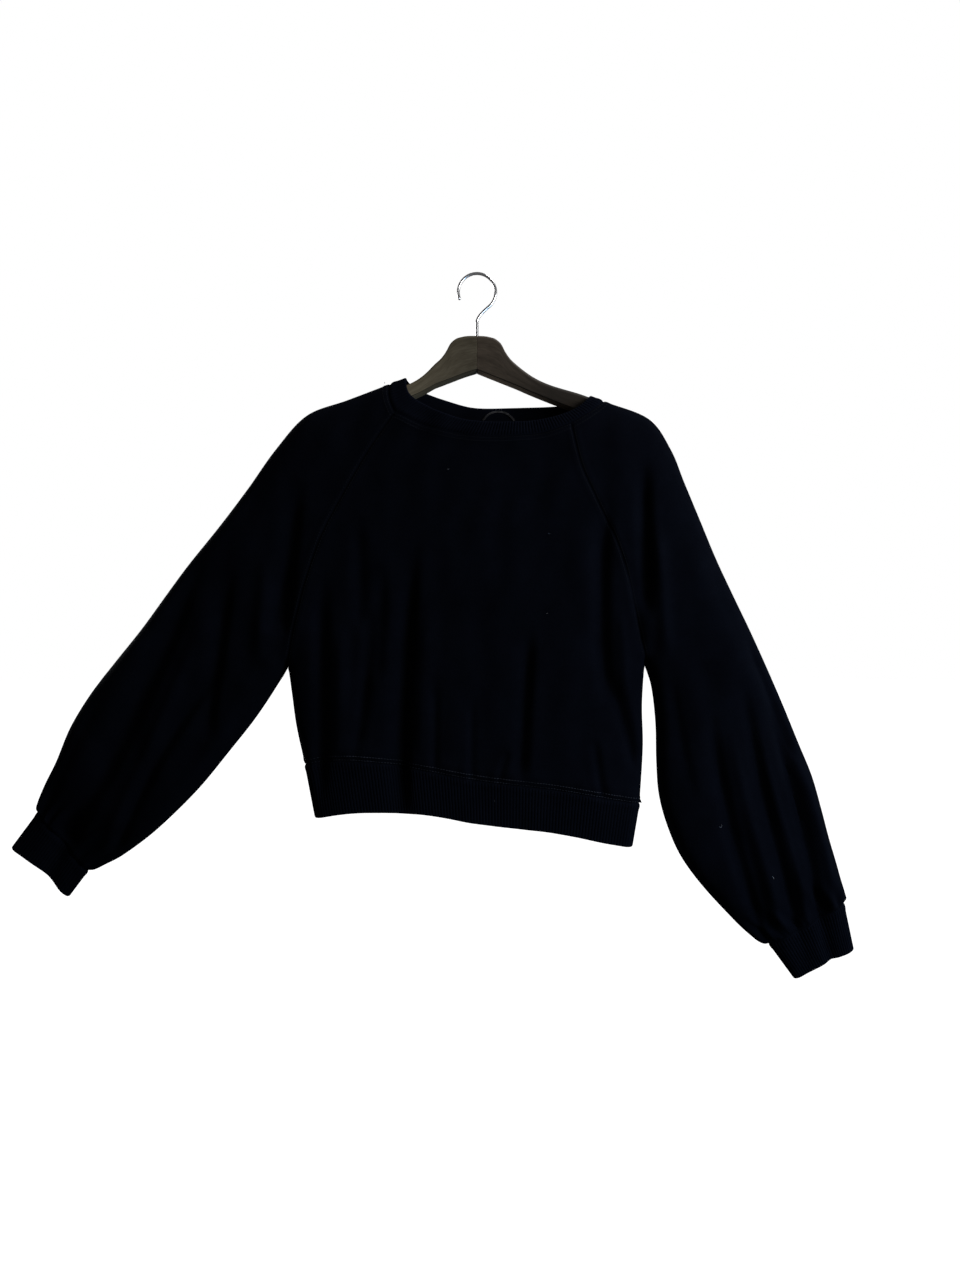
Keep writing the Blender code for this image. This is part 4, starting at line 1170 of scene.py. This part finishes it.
loop_along = np.linspace(-1.0, 1.0, 61)
loop_arch = np.stack([LOOP_MIDDLE[0] + LOOP_HALF_SPAN * loop_along,
                      LOOP_MIDDLE[1] - LOOP_DROP * np.abs(loop_along) ** LOOP_POWER], axis=1)
loop_shifts = np.linspace(LOOP_WIDTH / 2, -LOOP_WIDTH / 2, 9)
loop_skin, loop_base = skin(np.stack([beside(loop_arch, shift) for shift in loop_shifts]), BACK)
loop_face = loop_skin - (RIB_THICKNESS + RIB_HEIGHT / 2 + LOOP_CLEARANCE) * loop_base
loop = stands_for("neck_loop", wall("loop", loop_face, loop_base, LOOP_THICKNESS, woven_tape("grey tape"),
                                    pair(lengths(loop_arch)[None], loop_shifts[:, None])))

# %% [markdown]
# ## The wooden hanger
#
# The hanger is two bent arms that meet in a mitre under the hook, with rounded upper edges for the
# shoulders. Each arm is a bar: a rounded rectangle carried along its length, lower and thinner at the tip. A
# bevelled box would need cuts for the head, and a bar of sections takes them from two small tables. The stain
# is dark, and the grain runs along each arm, so it is noise stretched along the bar's own map. The right arm
# has a darker copy of the stain that darkens further towards its tip: painted shade. The lower sides are
# lightened, most on the right arm, as painted light from below.

# %% The bar
HANGER_THICKNESS = 20.0
ARM_HEIGHT = 22.1
TOP_RADIUS, BOTTOM_RADIUS = 5.0, 1.5
RADIUS_LIMIT = 0.8         # of half the bar, where it is too thin for the radii
UNDER_CLOTH = 2.9          # from the cloth's shoulder line in to the wood, square to it
# Columns: x, top z, bottom z.
HEAD = (
    (0.0, -76.0, -118.3),
    (14, -77.2, -123.8),
    (24, -80.8, -127.7),
    (30, -86.8, -130.1),
    (34, -94.6, -131.6),
    (40, -103.2, -134.0),
    (48, -110.8, -137.1),
)
LEFT_HEAD_WIDER, HEAD_FLARE = 3.0, 14.0   # the left half's head is this much wider, from here on
HALF_GAP = 0.03            # between each half and the mitre's plane
# Columns: x, how far top and bottom draw in, share of the thickness.
ARM = ((60, 0, 1.0), (135, 0, 1.0), (198, 0, 1.0), (206, 1.5, 0.94), (211, 4.5, 0.78), (213, 7.5, 0.5))
ARM_START, ARM_STEPS = 1.5, 190
CORNER_STEPS = 7
MITRE_BEVEL = 0.35
GRAIN_SHIFT = 300.0        # sets the grain of one arm apart from the other's


def arm_top(x):
    """Height of an arm's upper side: a straight line that falls by the tangent of its slope."""
    return SHOULDER_PEAK - UNDER_CLOTH / math.cos(ARM_FALL) - x * math.tan(ARM_FALL)


def stations(wider):
    """The bar's x, top, bottom and thickness at close steps, from a curve through the two tables."""
    rows = [(x + wider * smooth(x / HEAD_FLARE), top, bottom, HANGER_THICKNESS) for x, top, bottom in HEAD]
    rows += [(x, arm_top(x) - drawn_in, arm_top(x) - ARM_HEIGHT + drawn_in, HANGER_THICKNESS * share)
             for x, drawn_in, share in ARM]
    table = np.array(rows)
    x = np.concatenate([[0.0, MITRE_BEVEL], np.linspace(ARM_START, ARM[-1][0], ARM_STEPS)])
    bar = np.column_stack([x + HALF_GAP, curve(table[:, 1:], x, table[:, 0])])
    bar[0, 1:] += (-MITRE_BEVEL, MITRE_BEVEL, -2 * MITRE_BEVEL)
    return bar


def wood_arm(name, sign, material):
    """Rounded rectangles along the arm: corner centre + radius x (cos, sin) of a quarter turn each."""
    x, top, bottom, thickness = stations(LEFT_HEAD_WIDER if sign < 0 else 0.0).T
    half = thickness / 2
    parts = []
    for sign_y, sign_z, size, first in ((1, 1, TOP_RADIUS, 90), (1, -1, BOTTOM_RADIUS, 0),
                                        (-1, -1, BOTTOM_RADIUS, -90), (-1, 1, TOP_RADIUS, -180)):
        radius = np.minimum(size, np.minimum(half * RADIUS_LIMIT, (top - bottom) / 2 * RADIUS_LIMIT))
        turn = np.radians(first - np.linspace(0.0, 90.0, CORNER_STEPS))
        y = sign_y * (half - radius)[:, None] + radius[:, None] * np.cos(turn)
        z = np.where(sign_z > 0, top - radius, bottom + radius)[:, None] + radius[:, None] * np.sin(turn)
        parts.append(np.stack([np.broadcast_to(x[:, None], y.shape), y, z], axis=2))
    points = np.concatenate(parts, axis=1)
    rows, columns = points.shape[:2]
    place = pair(lengths(points[:, 0])[:, None] + GRAIN_SHIFT * sign, lengths(points[rows // 2])[None])
    flat_x, z = points[..., 0] * sign, points[..., 2] - SHOULDER_PEAK
    points[..., 0] = flat_x * math.cos(TILT) - z * math.sin(TILT)
    points[..., 2] = SHOULDER_PEAK + flat_x * math.sin(TILT) + z * math.cos(TILT)
    faces = tube_faces(numbers(rows, columns, ring=True), sign > 0)
    return new_object(name, points.reshape(-1, 3), faces, material, place.reshape(-1, 2), sharp=40.0)

# %% The stain, its painted light and shade, and the two arms
LOWER_EDGE_DARKENING = 0.3           # the lower edges are darkened to this share


def stained_wood(name, dark, light, head, tip, under):
    """Dark stained wood: grain and pores, x head to tip, darker lower edges, x under (painted light) on its
    lower side.
    """
    material, add, surface = material_nodes(name)
    grain_place, pore_place = [add("Mapping", Vector=cloth_place(add), Scale=scale).outputs["Vector"]
                               for scale in ((14.0, 240.0, 1.0), (90.0, 1500.0, 1.0))]
    grain = noise(add, grain_place, 1.0, Detail=6.0, Roughness=0.62, Distortion=0.5)
    grain = mixed(add, 0.4, grain, noise(add, pore_place, 1.0, Detail=2.0))
    colour = ramp(add, grain, ((0.34, dark), (0.66, light)))
    away = calculate(add, "ABSOLUTE", add("SeparateXYZ", Vector=object_place(add)).outputs["X"])
    facing = add("SeparateXYZ", Vector=add("NewGeometry").outputs["Normal"]).outputs["Z"]
    # Darker on the lower edges, where the surface turns downwards.
    edge = mapped(add, facing, -0.12, -0.3, 1.0, LOWER_EDGE_DARKENING)
    # x head to tip along the arm, then the lower side goes from the edge's factor to under, which is painted
    # light from below.
    for depth in (mapped(add, away, 0.01, 0.09, head, tip), mapped(add, facing, -0.75, -0.92, edge, under)):
        colour = tint(add, 1.0, colour, depth, "MULTIPLY")
    surface(Base_Color=colour, Normal=bump(add, grain, 0.25, 0.0006), Specular_IOR_Level=0.06,
            Roughness=mapped(add, grain, 0.0, 1.0, 0.50, 0.66))
    return material


# The arms are a lit and a shaded copy of one stain: the right arm's darker colours and its tip factor of 0.24
# are painted shade. under lightens each lower side as painted light from below, six times on the right arm.
WOOD_LEFT = stained_wood("stained wood, left arm", (0.036, 0.028, 0.017), (0.072, 0.060, 0.040),
                         head=0.66, tip=1.35, under=1.1)
WOOD_RIGHT_SHADED = stained_wood("stained wood with painted shade, right arm", (0.022, 0.016, 0.011), (0.048, 0.036, 0.025),
                          head=0.80, tip=0.24, under=6.0)
wood_left = stands_for("hanger_left", wood_arm("wood_left", -1, WOOD_LEFT))
wood_right = stands_for("hanger_right", wood_arm("wood_right", 1, WOOD_RIGHT_SHADED))

# %% [markdown]
# ## The wire hook
#
# The hook is a bent wire with a rounded end. Its middle line is a short shank, a Hermite bend and a part
# circle whose inner crown is the origin. A Blender curve with a round bevel could follow it, but its end
# would be flat. So the tube is a grid, whose rings stand square to the line and close as a quarter circle.

# %% The hook
WIRE, HOOK_INSIDE = 3.6, 42.0
SHANK_FOOT, SHANK_BEND = -77.2, -58.0
CROOK_START, CROOK_END = math.radians(-48.0), math.radians(205.0)
BEND_PULL = 22.0
SHANK_STEPS, BEND_STEPS, CROOK_STEPS, WIRE_SIDES = 8, 26, 90, 20

crook_radius = (HOOK_INSIDE + WIRE) / 2
crook_turn = np.linspace(CROOK_START, CROOK_END, CROOK_STEPS)
crook = np.stack([crook_radius * np.cos(crook_turn),
                  -HOOK_INSIDE / 2 + crook_radius * np.sin(crook_turn)], axis=1)
arrive = np.array((-math.sin(CROOK_START), math.cos(CROOK_START))) * BEND_PULL
bend = hermite(np.linspace(0.0, 1.0, BEND_STEPS)[1:-1, None], np.array((0.0, SHANK_BEND)),
               np.array((0.0, BEND_PULL)), crook[0], arrive)
shank = np.stack([np.zeros(SHANK_STEPS), np.linspace(SHANK_FOOT, SHANK_BEND, SHANK_STEPS)], axis=1)
wire_line = np.vstack([shank, bend, crook])
wire_along = lengths(wire_line)
direction = unit(np.gradient(wire_line, axis=0))
from_end = np.minimum((wire_along[-1] - wire_along) / (WIRE / 2), 1.0)
radius = WIRE / 2 * np.sqrt(np.clip(1.0 - (1.0 - from_end) ** 2, 0.03, 1.0))[:, None]
wire_turn = np.linspace(0.0, 2 * math.pi, WIRE_SIDES, endpoint=False)
wire_points = np.stack([
    wire_line[:, :1] - direction[:, 1:] * radius * np.cos(wire_turn),
    radius * np.sin(wire_turn),
    wire_line[:, 1:] + direction[:, :1] * radius * np.cos(wire_turn),
], axis=2)

steel, add, surface = material_nodes("hook steel")
scratches = noise(add, object_place(add), 900.0, Detail=4.0)
surface(Base_Color=ramp(add, scratches, ((0.3, (0.46, 0.46, 0.47)), (0.7, (0.62, 0.62, 0.63)))),
        Roughness=mapped(add, scratches, 0.0, 1.0, 0.16, 0.34), Metallic=1.0)
wire_faces = tube_faces(numbers(len(wire_line), WIRE_SIDES, ring=True), True)
wire_hook = stands_for("hanger_hook", new_object("wire_hook", wire_points.reshape(-1, 3), wire_faces, steel,
                                                 sharp=50.0))

# %% [markdown]
# ## Lint
#
# Black cloth shows lint. A few pale fibres lie on the front where the photograph has them. Hair particles
# could be strewn there, but so few are better placed one by one: bent hairs, each a thin ribbon on the skin.

# %% Lint
# Columns: x, z, length, heading in degrees.
LINT = (
    (22, -637, 3.0, 30),
    (292, -668, 5.5, 60),
    (353, -728, 4.0, 100),
    (-34, -242, 2.0, 10),
    (86, -318, 2.0, 140),
    (84, -414, 1.6, 20),
)
HAIR, HAIR_BEND = 0.2, 1.4   # a hair's width, and its turn from end to end in radians
HAIR_TOP, HAIR_LOW = 0.35, 0.10   # above the cloth
HAIR_STEPS = 9

lint_table = np.array(LINT, float)
hair_share = np.linspace(-0.5, 0.5, HAIR_STEPS)
heading = np.radians(lint_table[:, 3])[:, None] + HAIR_BEND * hair_share[None]
hair_way = np.stack([np.cos(heading), np.sin(heading)], axis=2)
hair_plan = lint_table[:, None, :2] + lint_table[:, 2][:, None, None] * hair_share[None, :, None] * hair_way
hair_side = left_of(hair_way) * HAIR / 2
hair_points, hair_base = skin(np.stack([hair_plan + hair_side, hair_plan - hair_side], axis=1), FRONT)
hair_top, hair_low = hair_points + HAIR_TOP * hair_base, hair_points + HAIR_LOW * hair_base
hair_lines = np.stack([hair_top[:, 0], hair_top[:, 1], hair_low[:, 1], hair_low[:, 0]], axis=1)
hair_faces = []
for index in range(len(LINT)):
    number = index * 4 * HAIR_STEPS + numbers(4, HAIR_STEPS)
    hair_faces += corners(np.vstack([number, number[:1]]))[:, ::-1].tolist()
    hair_faces += [number[::-1, 0].tolist(), number[:, -1].tolist()]

fluff, add, surface = material_nodes("pale lint")
fluff_noise = noise(add, object_place(add), 800.0)
surface(Base_Color=ramp(add, fluff_noise, ((0.3, (0.05, 0.05, 0.055)), (0.7, (0.16, 0.16, 0.17)))),
        Roughness=0.95)
lint = new_object("lint", hair_lines.reshape(-1, 3), hair_faces, fluff)
report(lint)

# %% [markdown]

# %% [markdown]
# ## Floor and light
#
# The photograph is cut out on plain white, so the world is white where the camera sees it, and lights the
# garment only weakly. A soft sun from above turns the floor nearly white and only grazes the cloth. The key
# is an area light close to the right sleeve, because it is the brightest part in the photograph and the left
# one the darkest. A weak light from behind serves the back. A pale floor lies well below the hem.

# %% The stage
FLOOR_Z = -4.0
FLOOR_RADIUS, FLOOR_SIDES = 90.0, 96
WORLD_SEEN, WORLD_LIGHT = 1.0, 0.13

floor_turn = np.linspace(0.0, 2 * math.pi, FLOOR_SIDES, endpoint=False)
floor_mesh = bpy.data.meshes.new("floor")
floor_mesh.from_pydata([(FLOOR_RADIUS * math.cos(turn), FLOOR_RADIUS * math.sin(turn), FLOOR_Z)
                        for turn in floor_turn], [], [tuple(range(FLOOR_SIDES))])
pale, add, surface = material_nodes("pale floor")
surface(Base_Color=(0.93, 0.93, 0.93, 1.0), Roughness=0.95)
floor_mesh.materials.append(pale)
floor = bpy.data.objects.new("floor", floor_mesh)
bpy.context.scene.collection.objects.link(floor)
floor.visible_diffuse = floor.visible_glossy = False   # the floor throws no light back up

world = bpy.data.worlds.new("studio")
world.use_nodes = True
world_nodes, world_links = world.node_tree.nodes, world.node_tree.links
seen = world_nodes.new("ShaderNodeLightPath")
strength = world_nodes.new("ShaderNodeMapRange")
strength.inputs["To Min"].default_value = WORLD_LIGHT
strength.inputs["To Max"].default_value = WORLD_SEEN
world_links.new(seen.outputs["Is Camera Ray"], strength.inputs["Value"])
world_links.new(strength.outputs["Result"], world_nodes["Background"].inputs["Strength"])
world_nodes["Background"].inputs["Color"].default_value = (1.0, 1.0, 1.0, 1.0)
bpy.context.scene.world = world
bpy.context.scene.view_settings.view_transform = "Standard"


def light(name, kind, place, target, power, **settings):
    """A soft light at a place, turned to a target: tilt and heading are arctangents of the way there."""
    data = bpy.data.lights.new(name, kind)
    data.energy = power
    for key, value in settings.items():
        setattr(data, key, value)
    item = bpy.data.objects.new(name, data)
    item.location = place
    way = np.array(target) - np.array(place)
    item.rotation_euler = (math.atan2(math.hypot(way[0], way[1]), -way[2]), 0.0, math.atan2(-way[0], way[1]))
    bpy.context.scene.collection.objects.link(item)


MIDDLE = (0.0, 0.0, -0.45)
light("sun", "SUN", (5.0, -0.4, 7.6), MIDDLE, 4.2, angle=math.radians(24))
light("key", "AREA", (0.95, -0.8, -0.1), MIDDLE, 19.5, size=0.6)
light("window", "AREA", (1.1, -0.7, -0.55), (0.36, 0.0, -0.6), 9.0, size=0.5, color=(0.3, 0.62, 1.0))
light("behind", "AREA", (-1.5, 1.3, 0.2), MIDDLE, 30.0, size=0.9)
print("lights placed")
